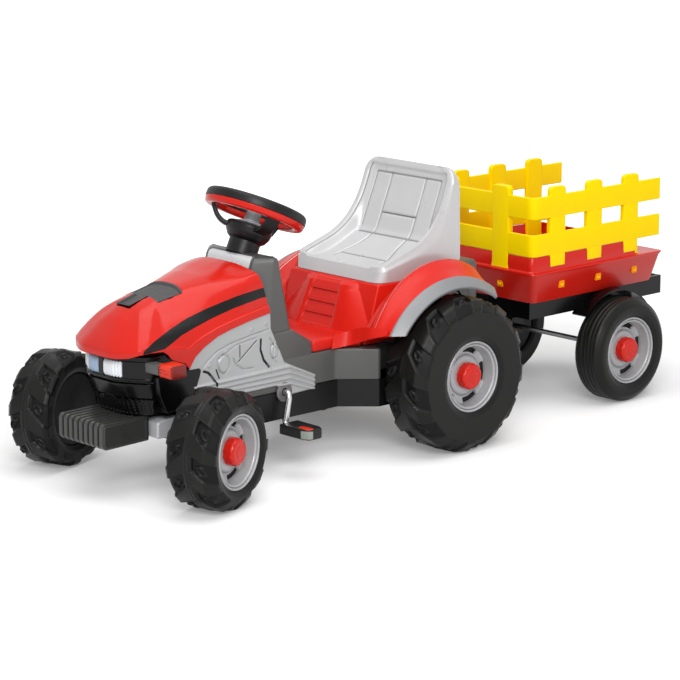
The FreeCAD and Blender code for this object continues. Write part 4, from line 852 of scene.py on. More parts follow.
    def vent(self) -> None:
        """Ribbed tray sunk in the opening, with a wall up to the bonnet all round."""
        length, whole, (wide, narrow) = self.bar[1] - self.bar[0], self.stem_end - self.bar[0], self.bar_half
        lead = np.concatenate([np.linspace(0, length, 90), np.linspace(length + 1, whole, 62)])[:, None]
        v = np.linspace(-1.0, 1.0, 91)[None, :]
        widths = (0, wide), (length, narrow), (length + 1, self.stem_half), (whole, self.stem_half)
        y = v * through(lead, *widths)
        x = self.bar[0] + lead + self.bar_bow * v**2 * (1 - smooth(0.0, 40.0, lead))
        inside = np.maximum(self.opening(x, y), 0.0)
        ribs = 0.6 * np.cos(2 * np.pi * x / self.rib_pitch) * smooth(2.5, 4.0, inside)
        z = self.crown(x, y) - 0.4 - 5.0 * smooth(0.6, 2.2, inside) + ribs
        shell = Shell("bonnet_intake")
        shell.sheet(joined(x, y, z), 1.5, 2.4 - inside)
        settle(shell, VENT, "hood_vent")

    def build(self) -> None:
        """The shell and the intake."""
        points, mark = self.surface()
        shell = Shell("bonnet_shell")
        shell.sheet(points, self.thick, mark, spine=True)
        settle(shell, RED_FLASH, "hood", sharp_deg=40.0)
        self.vent()


@dataclass
class FrontEnd:
    """Nose, lamps, side lamp, weight block and axle box."""

    rear: float = 541.0
    lamp_low: float = 208.0
    lamp_high: float = 235.0
    lamp_in: float = 7.0
    lamp_outs: tuple[float, float] = (46.0, 68.0)

    @staticmethod
    def bow(y: Array) -> Array:
        """Plan curve of the front at the lamps' height: nearly flat, with cut corners."""
        run = [(0, 648), (25, 647.5), (42, 643), (50, 638), (62, 631), (74, 623), (83, 615)]
        run += [(89, 603), (92, 588)]
        return np.interp(np.abs(y), *spline(run, 160).T)

    @staticmethod
    def depth(z: Array) -> Array:
        """How far the nose's face stands behind the lamps' curve at each height."""
        return through(
            z, (135, 31), (138, 26), (168, 17), (169, 20), (171, 16), (172, 13), (194, 4), (197, 3), (199, 8),
            (201, 8), (203, 1), (206, 1), (207, 4), (236, 4), (237, 1), (244, 0),
        )

    def nose(self) -> None:
        """Bow curve stacked over the height, with ribs below, and plates at the cheeks."""
        v = np.linspace(-1.0, 1.0, 201)[None, :]
        t = np.linspace(0.0, 1.0, 150)[:, None]
        foot = 135.0 + 7.0 * v**2
        z = between(foot, 244.0, t)
        y = v * through(z, (135, 74), (180, 84), (210, 88), (244, 88))
        low = smooth(142, 144, z) * (1 - smooth(165, 167, z))
        ribs = 1.5 * (1 - smooth(-0.3, 0.3, np.cos(2 * np.pi * y / 8.0))) * low
        ends = np.where(y > 0, *self.lamp_outs)
        pane = (np.abs(y) > self.lamp_in - 1.0) & (np.abs(y) < ends + 1.0)
        back = self.depth(z) - np.where((z > 206.5) & (z < 236.5) & ~pane, 3.0, 0.0)
        x = np.maximum(self.bow(y) - back - ribs, self.rear + 20.0)
        shell = Shell("nose_grille")
        shell.rings(np.concatenate([joined(x, y, z), joined(self.rear, y, z)[:, ::-1]], axis=1))
        cheek = [(604, 213), (508, 213), (512, 199), (520, 180), (528, 158), (545, 150), (585, 146), (600, 180)]
        for side in Side:
            shell.prism(rounded(cheek, 5.0), Axis.Y, (side.value * 84.0, side.value * 99.8), 2.0)
        settle(shell, BLACK_GLOSS, "nose", sharp_deg=28.0)

    def lamps(self) -> None:
        """Two lenses that follow the bow, rippled by upright flutes and rounded above and below."""
        shell = Shell("lamp_lenses")
        low, high = self.lamp_low, self.lamp_high
        z = np.linspace(low, high, 24)[:, None]
        crown = 3.0 * (1 - (np.abs(2 * z - low - high) / (high - low)) ** 4)
        for side, end in zip(Side, self.lamp_outs):
            span = np.linspace(self.lamp_in, end, 70)
            flat = (span - self.lamp_in) / (end - self.lamp_in)
            ripple = 0.9 * np.cos(2 * np.pi * span / 6.0) * smooth(0.45, 0.6, flat)
            face = self.bow(span) + ripple + crown - 4.0
            outer = joined(face, side.value * span, z)
            inner = outer - np.array([10.0, 0.0, 0.0])
            tint = np.broadcast_to(0.5 - flat if side is Side.RIGHT else -1.0, face.shape)
            both = np.concatenate([tint, tint[:, ::-1]], axis=1)
            shell.rings(np.concatenate([outer, inner[:, ::-1]], axis=1), both)
        settle(shell, FROST, "headlamps", sharp_deg=50.0)

    def signals(self) -> None:
        """Strap arm on the left and the lamp box on it, with a dark outer side."""
        arm, box = Shell("signal_strap"), Shell("signal_box")
        arm.prism(box_outline((598.0, 219.0), (616.0, 237.0), 2.0), Axis.Y, (72.0, 114.0), 1.0)
        lens = box_outline((579.0, 216.0), (613.0, 239.0), 4.0)
        rings = soft_prism(lens, Axis.Y, 112.0, 146.0, 3.0)
        box.rings(rings, np.where(rings[..., 1] > 143.4, 3.0, -3.0))
        for z in (221.0, 226.0, 231.0):
            box.prism(box_outline((612.0, z), (615.0, z + 3.0), 1.2), Axis.Y, (116.0, 142.0), 0.8)
        settle(arm, GREY, "signal_arm")
        settle(box, AMBER, "signal_lens")

    def weight(self) -> None:
        """Block of slabs: the side outline carried across, drawn in at each groove."""
        outline = rounded([(593, 94), (686, 92), (693, 99), (693, 137), (593, 138)], [3, 7, 7, 8, 3], 8)
        half, slabs, edge = 62.0, 9, 3.0
        across = np.linspace(-half, half, 400)
        pitch = 2 * half / slabs
        off = np.abs(((across + half) / pitch) % 1.0 - 0.5) * pitch
        inset = 5.0 * smooth(pitch / 2 - 3.2, pitch / 2 - 1.2, off)
        inset = np.maximum(inset, edge * quarter(1 - (half - np.abs(across)) / edge))
        rings = np.stack([grown(outline, -by) for by in inset])
        shell = Shell("weight_slabs")
        shell.rings(carried(rings, across, Axis.Y))
        settle(shell, CHARCOAL, "front_weight", sharp_deg=50.0)

    def axle_box(self) -> None:
        """Beam box behind the weights: a tapered outline carried across."""
        shell = Shell("axle_beam_box")
        outline = rounded([(541, 98), (590, 98), (590, 126), (575, 131), (541, 131)], 5.0)
        shell.prism(outline, Axis.Y, (-80.0, 80.0), 4.0)
        settle(shell, SILVER, "front_axle_box")

    def build(self) -> None:
        """All pieces of the front."""
        self.nose()
        self.lamps()
        self.signals()
        self.weight()
        self.axle_box()


@dataclass
class Dash:
    """Dashboard housing: a leaning block with a silver panel on its front."""

    low_z: float = 247.0
    high_z: float = 379.0
    edge: float = 9.0

    def build(self) -> None:
        """Rounded plan outlines that go from the foot's size to the top's."""
        share = np.linspace(0.0, 1.0, 40)
        drawn = self.edge * quarter((share - 0.93) / 0.07)
        rings = np.stack([grown(self.plan(t), -by) for t, by in zip(share, drawn)])
        points = carried(rings, between(self.low_z, self.high_z, share), Axis.Z)
        half = through(share, (0, 58), (1, 61.5))[:, None] - 5.0
        front = through(share, (0, 402), (1, 358))[:, None]
        mark = np.minimum(half - np.abs(points[..., 1]), points[..., 0] - front + 6.0)
        groove = hump(half - np.abs(points[..., 1]), -2.2, 1.3) * (points[..., 0] > front - 12.0)
        points[..., 0] -= 2.5 * groove
        shell = Shell("dash_housing")
        shell.rings(points, mark)
        settle(shell, GREY_PANEL, "dash_cowl", sharp_deg=30.0)

    @staticmethod
    def plan(t: float) -> Array:
        """Plan outline at a share of the height, with many points along the front."""
        front, corner, rear = 402 - 44 * t, 352 - 19 * t, 296 + 26 * t
        half, wide = 58 + 3.5 * t, 91 - 3 * t
        right = [(corner, wide), (rear, wide), (rear, -wide), (corner, -wide)]
        outline = rounded([(front, -half), (front, half), *right], 7.0)
        return resample(np.vstack([outline, outline[:1]]), 260)[:-1]


@dataclass
class EnginePanels:
    """Silver side panels with the engine moulded in low relief."""

    face: float = 98.0
    thick: float = 3.0
    rear: float = 248.0
    front: float = 533.0

    @staticmethod
    def low(x: Array) -> Array:
        """Lower edge."""
        return through(
            x, (248, 134), (300, 132), (322, 143), (341, 154), (405, 153.5), (480, 160), (520, 172), (533, 190)
        )

    @staticmethod
    def high(x: Array) -> Array:
        """Upper edge: the foot rail's, then the rear edge's, then under the bonnet."""
        return through(
            x, (248, 160), (307, 187), (319, 193), (330, 216), (351, 259), (352, 287), (402, 280), (442, 272),
            (472.5, 264), (502.5, 250), (522, 236), (533, 220),
        )

    @staticmethod
    def near(x: Array, z: Array, *points: tuple[float, float]) -> Array:
        """Distance from a run of straight lines."""
        best = np.full(x.shape, 1e9)
        for (ax, az), (bx, bz) in zip(points[:-1], points[1:]):
            length = (bx - ax) ** 2 + (bz - az) ** 2
            t = np.clip(((x - ax) * (bx - ax) + (z - az) * (bz - az)) / length, 0.0, 1.0)
            best = np.minimum(best, np.hypot(x - ax - t * (bx - ax), z - az - t * (bz - az)))
        return best

    def relief(self, x: Array, z: Array) -> tuple[Array, Array]:
        """Height of the moulding, and the mark that paints shade into the slots.

        Ribs, ridges and grooves are bells or steps of the distance from their lines.
        """
        slots = [
            (2.2, (502, 205), (492, 201), (484, 192), (477, 183), (473.5, 176)),
            (0.9, (421, 238), (421, 217)),
            (0.9, (383, 241), (425, 210)),
            (2.2, (373, 241), (374, 223), (367, 204), (355, 190)),
            (1.3, (475, 204), (468, 187)),
        ]
        # Painted shade: the slots are only sunk 2.2 mm, and their mark paints them near-black for the dark
        # behind
        mark = np.max([width - self.near(x, z, *line) for width, *line in slots], axis=0)
        lines = [
            (-2.2, 1.3, (502, 213), (492, 222), (472, 235), (442, 244), (391, 252), (354, 257)),
            (-2.2, 1.3, (436, 217), (430, 205), (414, 195), (391.5, 194)),
            (-2.0, 1.2, (352, 240), (344, 228), (334, 214)),
            (-2.0, 1.2, (470, 222), (446, 232), (428, 240), (383, 246)),
            (-1.8, 1.1, (342, 236), (346, 204), (338, 196)),
        ]
        height = sum(deep * hump(self.near(x, z, *line), 0.0, width) for deep, width, *line in lines)
        height = height - 2.2 * smooth(-0.6, 0.8, mark)
        large = np.hypot((x - 458) / 12.0, (z - 211) / 15.0)
        height = height + 1.6 * (1 - smooth(0.85, 1.0, large)) - 1.8 * hump(large, 1.12, 0.08)
        small = np.hypot((x - 342) / 9.0, (z - 216) / 12.0)
        height = height + 1.2 * (1 - smooth(0.8, 1.0, small)) - 1.6 * hump(small, 1.1, 0.1)
        for bolt in ((490, 213), (453, 233), (362, 268), (395, 262)):
            height = height + 1.3 * (1 - smooth(3.0, 3.8, np.hypot(x - bolt[0], z - bolt[1])))
        for k in range(4):
            ahead = (454, 181.0 - 8.5 * k), (520, 180.0 - 8.5 * k)
            rib = through(x, (248, 157.0 - 8 * k), (307, 183.5 - 10 * k), *ahead)
            height = height + 3.4 * np.clip(1.25 * hump(z, rib, 2.7), 0, 1)
        return height, mark

    def build(self) -> None:
        """A grid over the panel's outline, raised by the relief, one for each side."""
        x = np.linspace(self.rear, self.front, 330)[:, None]
        t = np.linspace(0.0, 1.0, 140)[None, :]
        tall = self.high(x) - self.low(x)
        z = self.low(x) + tall * t
        height, mark = self.relief(np.broadcast_to(x, z.shape), z)
        border = np.minimum(np.minimum(t, 1 - t) * tall, np.minimum(x - self.rear, self.front - x))
        y = self.face + height - 2.5 * (1 - smooth(-1.0, 2.5, border))
        for side in Side:
            shell = Shell(f"engine_relief_{side.word}")
            shell.sheet(joined(x, side.value * y, z), side.value * self.thick, mark)
            settle(shell, SILVER_SLOT_SHADE, f"engine_panel_{side.word}", sharp_deg=60.0)


@dataclass
class Body:
    """Grey upper half of the body and the black lower half."""

    half: float = 96.0
    wide: float = 147.0
    front: float = 540.0
    rear: float = -75.0
    split: float = 140.0
    deck: float = 197.0

    def plan(self) -> Array:
        """Plan outline with the flare in front of the rear wheels, seen from above."""
        half, wide = self.half, self.wide
        right = [(self.front, half), (196.0, half), (140.0, wide), (134.0, wide)]
        right += [(112.0, half), (self.rear, half)]
        left = [(x, -y) for x, y in reversed(right)]
        radii = [6.0, 14.0, 5.0, 5.0, 8.0, 6.0]
        return rounded(right + left, radii + radii[::-1])

    def upper(self) -> None:
        """Deck, foot tunnel and tail box as soft prisms."""
        shell = Shell("body_upper")
        shell.prism(self.plan(), Axis.Z, (self.split + 0.5, self.deck), 3.0)
        tunnel = [(245, 142), (250, 219), (296, 247), (405, 247), (self.front, 200), (self.front, 142)]
        inside = self.half - 0.6
        shell.prism(rounded(tunnel, [2, 8, 12, 12, 4, 2]), Axis.Y, (-inside, inside), 7.0)
        tail = [(-154, 205), (-76, 205), (-76, 288), (-100, 288), (-101, 315), (-154, 315)]
        shell.prism(rounded(tail, [6, 4, 4, 2, 6, 12]), Axis.Y, (-105.0, 105.0), 8.0)
        settle(shell, GREY, "body_shell")

    def build(self) -> None:
        """Both halves, of which the black one is the frame's own node."""
        self.upper()
        dress(BLACK, "chassis")


@dataclass
class SeatBase:
    """Red pedestal with both mudguards, and their grey trims."""

    centre_z: float = 130.0
    low_z: float = 229.0
    lip: float = 183.0
    inner: float = 167.0
    rear_deg: float = 120.0
    trim_rear_deg: float = 125.0
    panel_low: tuple[float, float, float] = (160.0, 219.0, 48.5)
    panel_high: tuple[float, float, float] = (128.0, 302.0, 41.0)
    panel_top: float = 303.0
    wall_y: float = 134.0
    arch_steps: int = 110

    def arch(self, profile: Array, rear_deg: float) -> tuple[Array, Array]:
        """A profile of (reach, out) swung about the wheel's middle, from a level foot.

        Args:
            profile: points of the section.
            rear_deg: where it ends behind.

        Returns:
            Points of the left arch, and the swing angle of each in degrees.
        """
        reach, out = profile.T
        start = np.degrees(np.arcsin((self.low_z - self.centre_z) / reach))
        swing = between(start, rear_deg, np.linspace(0.0, 1.0, self.arch_steps)[:, None])
        turn = np.radians(swing)
        return joined(reach * np.cos(turn), out, self.centre_z + reach * np.sin(turn)), swing

    def guard(self) -> tuple[Array, Array]:
        """Points of the left mudguard, and the mark of the line along its crest.

        The section climbs from the seat's side to the crest and falls to the lip. The
        crest draws in and rises as it swings back, and the rest follows by its share.
        """
        run = [
            (165, 117), (172, 119), (188, 127), (198, 134), (203, 140), (203.5, 146), (199, 156), (192, 168),
            (187, 180), (184, 188), (183, 190), (180, 190.5),
        ]
        profile = spline(run, 72)
        points, swing = self.arch(profile, self.rear_deg)
        share = np.minimum((190.0 - profile[:, 1]) / 50.0, (profile[:, 1] - 117.0) / 23.0).clip(0.0, 1.0)
        rise = through(swing, (30, -13), (45, -10), (67, -5), (88, 0), (107, 6)) * share
        out = through(swing, (30, 17), (45, 13), (67, 3), (88, -3), (107, -5)) * share
        points[..., 0] += rise * np.cos(np.radians(swing))
        points[..., 2] += rise * np.sin(np.radians(swing))
        points[..., 1] += out
        off = np.abs(np.arange(len(profile)) - np.argmin(np.abs(profile[:, 1] - 142.0)))
        half = np.where(swing < 50.0, 1.6, 0.55)
        return points, np.minimum(half - off * 1.2, np.minimum(swing - 33.0, 88.0 - swing))

    def front(self) -> Array:
        """Tiled panel between two hollow sweeps that run out to the mudguards.

        At each height the wall goes from the panel's plane to the mudguard's arc, by a
        cubic in the distance across, and the tiles are a saw-tooth over the height.
        """
        sweep = np.linspace(46, self.wall_y + 10, 60)
        y = np.concatenate([-sweep[::-1], np.linspace(-44, 44, 101), sweep])[:, None]
        across = np.abs(y)
        foot = through(across, (90, 212), (97, 198), (134, 219))
        rise = np.linspace(0.0, 1.0, 130)[None, :]
        z = between(foot, self.panel_top, rise)
        (low_x, low_z, low_half), (high_x, high_z, high_half) = self.panel_low, self.panel_high
        share = (z - low_z) / (high_z - low_z)
        panel, half = between(low_x, high_x, share), between(low_half, high_half, share)
        reach = through(across, (110, 158), (117, 163), (127, 182), (134, 189), (146, 191))
        guard = np.sqrt(np.maximum(reach**2 - (z - self.centre_z) ** 2, 0.0))
        ease = np.clip((across - half) / (self.wall_y - half), 0.0, 1.1)
        x = between(panel, guard, ease**2 * (1.6 - 0.6 * ease))
        tile = share * 4.0
        tooth = 1.0 - (tile - np.floor(tile))
        inside = smooth(3.0, 5.5, half - 4.0 - across) * smooth(0.02, 0.05, share)
        inside = inside * (1 - smooth(0.95, 0.98, share))
        stile = hump(half - across, 1.0, 3.0) * (1 - smooth(0.92, 0.99, share))
        x = x + inside * (-5.0 + 4.0 * tooth**0.7) + 2.0 * stile - 12.0 * smooth(0.9, 1.0, rise) ** 2
        return joined(x, y, z)

    def pedestal(self) -> None:
        """Panel, mudguards, inner block and foot flange as one moulding."""
        shell = Shell("seat_pedestal")
        shell.sheet(self.front(), 4.0)
        points, line = self.guard()
        for side in Side:
            shell.sheet(mirrored(points, side), 4.0, line)
        block = [(-74, 198), (150, 198), (136, 219), (112, 303), (-74, 303)]
        shell.prism(rounded(block, [2, 4, 4, 6, 8]), Axis.Y, (-117.0, 117.0), 4.0)
        flange = [(250, 95), (192, 95), (150, 118), (150, -118), (192, -95), (250, -95)]
        shell.prism(rounded(flange, [7, 8, 4, 4, 8, 7]), Axis.Z, (197.3, 219.0), 6.0)
        low = [(206, 95.5, 197.6), (182, 112, 203), (173, 134, 211), (168, 160, 221), (158, 187, 228.5)]
        high = [(200, 94, 222), (176, 108, 228), (168, 130, 236), (164, 156, 240), (152, 186, 238)]
        skirt = between(spline(low, 48), spline(high, 48), np.linspace(0.0, 1.0, 8)[:, None, None])
        for side in Side:
            shell.sheet(mirrored(skirt, side), 3.0)
        settle(shell, RED_LINED, "seat_base", sharp_deg=40.0)

    def trims(self) -> None:
        """Grey arch from the mudguard's lip out over the tyre."""
        lip, inner = self.lip, self.inner
        run = [(lip - 2, 186.0), (lip + 1, 192.0), (lip - 3, 198.0)]
        run += [(inner + 3, 208.0), (inner, 210.0), (inner - 4, 208.5)]
        points, _ = self.arch(spline(run, 30), self.trim_rear_deg)
        for side in Side:
            shell = Shell(f"mudguard_trim_{side.word}")
            shell.sheet(mirrored(points, side), 3.0)
            settle(shell, TRIM, f"fender_trim_{side.word}", sharp_deg=40.0)

    def build(self) -> None:
        """The moulding and its trims."""
        self.pedestal()
        self.trims()


@dataclass
class Seat:
    """Silver bucket seat: one closed section carried from the lip to the top of the back."""

    half: float = 117.0
    back_half: float = 115.0
    corner: float = 28.0
    front_corner: float = 22.0
    bead: float = 4.0
    along: int = 140
    over: int = 161
    down: int = 16

    def build(self) -> None:
        """At each station the section runs from the pan up to the wing's edge, over the
        bead, down the side and back along the underside. Pan, edge and underside are
        three curves in side view, read at the same station."""
        pan = [
            (100, 326), (92, 325), (70, 325), (40, 330), (5, 343), (-24, 357), (-35, 364), (-43, 380),
            (-56, 412), (-70, 446), (-81, 476), (-86, 489),
        ]
        wing = [
            (102, 327), (80, 334), (55, 342), (30, 350), (5, 360), (-24, 380), (-45, 404), (-59, 428),
            (-70, 455), (-77, 474), (-85, 490),
        ]
        hull = [(108, 304), (40, 303), (-60, 303), (-86, 306), (-96, 325), (-96, 419), (-96, 468), (-94, 489)]
        pan = resample(spline(pan, 300), self.along)
        wing = resample(spline(wing, 300), self.along)
        hull = resample(np.array(hull, float), self.along)
        s = np.linspace(0.0, 1.0, self.along)[:, None]
        half = between(self.half, self.back_half, smooth(0.55, 0.9, s))
        half = half - self.front_corner * quarter(1 - s / 0.06) - self.corner * quarter((s - 0.89) / 0.11)
        normal = np.gradient(pan, axis=0)
        normal = np.stack([-normal[:, 1], normal[:, 0]], axis=1)
        normal *= np.sign(normal[:, 1:].sum()) / np.linalg.norm(normal, axis=1)[:, None]
        pan, wing, hull, normal = (line.T[..., None] for line in (pan, wing, hull, normal))
        v = np.linspace(-1.0, 1.0, self.over)[None, :]
        rim = np.maximum(smooth(0.915, 0.94, np.abs(v)), smooth(0.945, 0.965, s))
        lift = self.grooves(s, v) + self.bead * rim
        x, z = between(pan, wing, smooth(0.78, 0.915, np.abs(v))) + normal * lift
        fall = np.linspace(0.0, 1.0, self.down)[None, :]
        soft = 1.0 - 0.03 * (1 - smooth(0.0, 0.15, fall)) - 0.02 * fall
        side_x, side_z = between(wing, hull, 0.04 + 0.96 * fall)
        top = joined(x, 0.965 * half * v, z)
        left = joined(side_x, half * soft, side_z)
        right = mirrored(left[:, ::-1], Side.RIGHT)
        # Painted shade: the mark darkens the grooves and a thin line inside the bead, where the moulding's
        # hollows would hold shade
        shade = -0.45 - self.grooves(s, v) / 3.0 - 2.0 * smooth(0.9, 0.92, np.abs(v))
        line = 1.2 - 100.0 * np.abs(np.abs(v) - 0.905)
        shade = np.maximum(shade, np.where((s > 0.05) & (s < 0.95), line, -1.0))
        shade = np.pad(shade, ((0, 0), (0, 2 * self.down)), constant_values=-1.0)
        shell = Shell("bucket_seat")
        shell.rings(np.concatenate([top, left, right], axis=1), shade)
        settle(shell, SEAT_SILVER_GROOVE_SHADE, "seat", sharp_deg=48.0)

    @staticmethod
    def grooves(s: Array, v: Array) -> Array:
        """Depth of the moulded grooves: two along the seat, bowed on the cushion, two on
        the wings and four across."""
        aside, short = np.abs(v), 1 - smooth(0.9, 0.92, s)
        bow = 0.40 + 0.14 * hump(s, 0.2, 0.14)
        depth = 0.6 * hump(aside, 0.76, 0.017) * smooth(0.5, 0.54, s) * short
        depth = depth + hump(aside, bow, 0.017) * smooth(0.14, 0.17, s) * short
        across = (0.22, 0.006, 0.5), (0.485, 0.009, 0.74), (0.91, 0.006, 0.74), (0.64, 0.006, 0.37)
        for at, width, end in across:
            depth = depth + hump(s, at, width) * (1 - smooth(end, end + 0.04, aside))
        return -3.0 * np.clip(depth, 0.0, 1.0)


@dataclass
class Steering:
    """Steering wheel on its leaning column."""

    centre: Place = (299.0, 0.0, 446.0)
    lean_deg: float = 25.0
    ring_radius: float = 81.5
    strap_degs: tuple[float, ...] = (60.0, 180.0, 300.0)

    def put(self, points: Array) -> Array:
        """Points drawn about the column's axis, turned with the steering and leant back."""
        turn, lean = math.radians(STEER_DEG), math.radians(self.lean_deg)
        x, y, z = np.moveaxis(points, -1, 0)
        x, y = x * math.cos(turn) - y * math.sin(turn), x * math.sin(turn) + y * math.cos(turn)
        x, z = x * math.cos(lean) - z * math.sin(lean), x * math.sin(lean) + z * math.cos(lean)
        return joined(x, y, z) + np.array(self.centre)

    def turned(self, profile: Array) -> Array:
        """Profile of (reach, height) turned about the column."""
        angle = around(96)
        reach, height = profile.T
        return self.put(joined(reach * np.cos(angle), reach * np.sin(angle), height))

    def build(self) -> None:
        """Black grip over a red band, the bowl with its three straps, and the pad."""
        ring = self.ring_radius
        grip = [(ring - 10.5, -1.5), (ring + 10.5, -1.5), (ring + 9.5, 16), (ring - 9.5, 16)]
        band = [(ring - 8, -13), (ring + 8, -13), (ring + 10, -1.7), (ring - 10, -1.7)]
        hoops = (
            ("wheel_grip", "steering_wheel_rim", BLACK, rounded(grip, [1, 1, 9, 9], 8)),
            ("wheel_band", "steering_wheel_ring", RED, rounded(band, [6, 6, 1, 1], 8)),
        )
        for name, solid, finish, outline in hoops:
            shell = Shell(name)
            shell.grid(self.turned(outline), wrap=(True, True))
            settle(shell, finish, solid, sharp_deg=45.0)
        shell = Shell("wheel_bowl")
        bowl = [(0, -82), (28, -82), (28, -58), (34, -54), (40, -44), (42, -34), (40, -29), (34, -27), (0, -27)]
        shell.grid(self.turned(resample(np.array(bowl, float), 60)))
        reach, height = spline([(34, -38), (48, -36), (60, -29), (69, -18), (75, -8)], 30).T
        for angle in np.radians(self.strap_degs):
            strap = joined(reach * np.cos(angle), reach * np.sin(angle), height)
            shell.rings(self.put(tube(strap, box_outline((-13, -4), (13, 4), 3.0))))
        settle(shell, BLACK, "steering_wheel_spider")
        shell = Shell("wheel_pad")
        pad = [(0, -2), (10, -2.5), (13, -5), (15, -22), (26, -25), (27, -28), (0, -28)]
        shell.grid(self.turned(resample(np.array(pad, float), 40)))
        settle(shell, TRIM, "steering_wheel_pad", sharp_deg=50.0)
        dress(STEEL, "steering_column")


@dataclass
class Drive:
    """Crank, pedals, axles and the hidden chain."""

    axle_z: float = 140.0
    crank_x: float = 321.0
    crank_arm: float = 58.0
    crank_deg: float = 12.0
    inner_y: float = 122.0
    outer_y: float = 195.0
    depth: float = 22.0
    thick: float = 9.0
    glass_y: tuple[float, float] = (163.0, 191.0)

    def pedal(self, side: Side) -> None:
        """Block whose plan tapers to a round outer end, with a red reflector on each face."""
        sign, turn, deep, thick = side.value, math.radians(self.crank_deg), self.depth, self.thick
        x = self.crank_x + sign * self.crank_arm * math.sin(turn)
        z = self.axle_z - sign * self.crank_arm * math.cos(turn)
        near, bend, far = sign * self.inner_y, sign * (self.outer_y - 14), sign * self.outer_y
        front = [(x + deep, near), (x + deep - 1, bend), (x + deep - 8, far)]
        rear = [(x - deep + 8, far), (x - deep + 1, bend), (x - deep, near)]
        outline = rounded(front + rear, [4, 9, 9, 9, 9, 4])
        block = soft_prism(outline, Axis.Z, z - thick, z + thick, 2.5)
        outer = sign * block[..., 1] - (self.inner_y + self.outer_y) / 2
        face = np.minimum(np.minimum(outer, block[..., 0] - x - 2.0), thick - 2.0 - np.abs(block[..., 2] - z))
        shell = Shell(f"pedal_block_{side.word}")
        shell.rings(block, face)
        settle(shell, PEDAL, f"pedal_{side.word}", sharp_deg=30.0)
        shell = Shell(f"pedal_glass_{side.word}")
        low, high = sorted(sign * y for y in self.glass_y)
        glass = box_outline((x + 1, low), (x + 15, high), 4.0)
        for up in (1, -1):
            shell.prism(glass, Axis.Z, (z + up * (thick - 1.5), z + up * (thick + 0.8)), 0.7)
        settle(shell, AMBER, f"pedal_{side.word}_reflectors")

    def bushes(self) -> None:
        """Flanged rings turned about the crank and the rear axle, on both sides."""
        shell = Shell("bush_rings")
        turned = [(5.0, -14.0), (11.0, -14.0), (11.0, 0.0), (16.6, 0.0), (17.4, 0.8), (17.4, 2.2), (16.2, 3.2)]
        turned += [(13.0, 3.4), (12.0, 2.4), (9.6, 2.2), (9.0, 3.4), (7.4, 3.2), (6.6, 1.0), (5.0, 0.4)]
        reach, out = np.array(turned).T
        angle = around(72)
        for side in Side:
            for x, face in ((self.crank_x, 97.5), (0.0, 96.2)):
                ring = joined(x + reach * np.cos(angle), face + out, self.axle_z + reach * np.sin(angle))
                # Painted shade: the mark darkens the bore, within 7 mm of the axle
                shell.grid(mirrored(ring, side), 7.0 - reach, wrap=(True, True))
        settle(shell, BUSH_BORE_SHADE, "axle_bushes", sharp_deg=40.0)

    def build(self) -> None:
        """Pedals and bushes, then the frame nodes that show as they are."""
        for side in Side:
            self.pedal(side)
        self.bushes()
        dress(CHROME, "crankshaft")
        dress(STEEL, "drive_sprocket", "driven_sprocket", "drive_chain", "rear_axle", "tie_rod")
        dress(SILVER, "seat_screws")
        dress(BLACK, "knuckle_left", "knuckle_right")


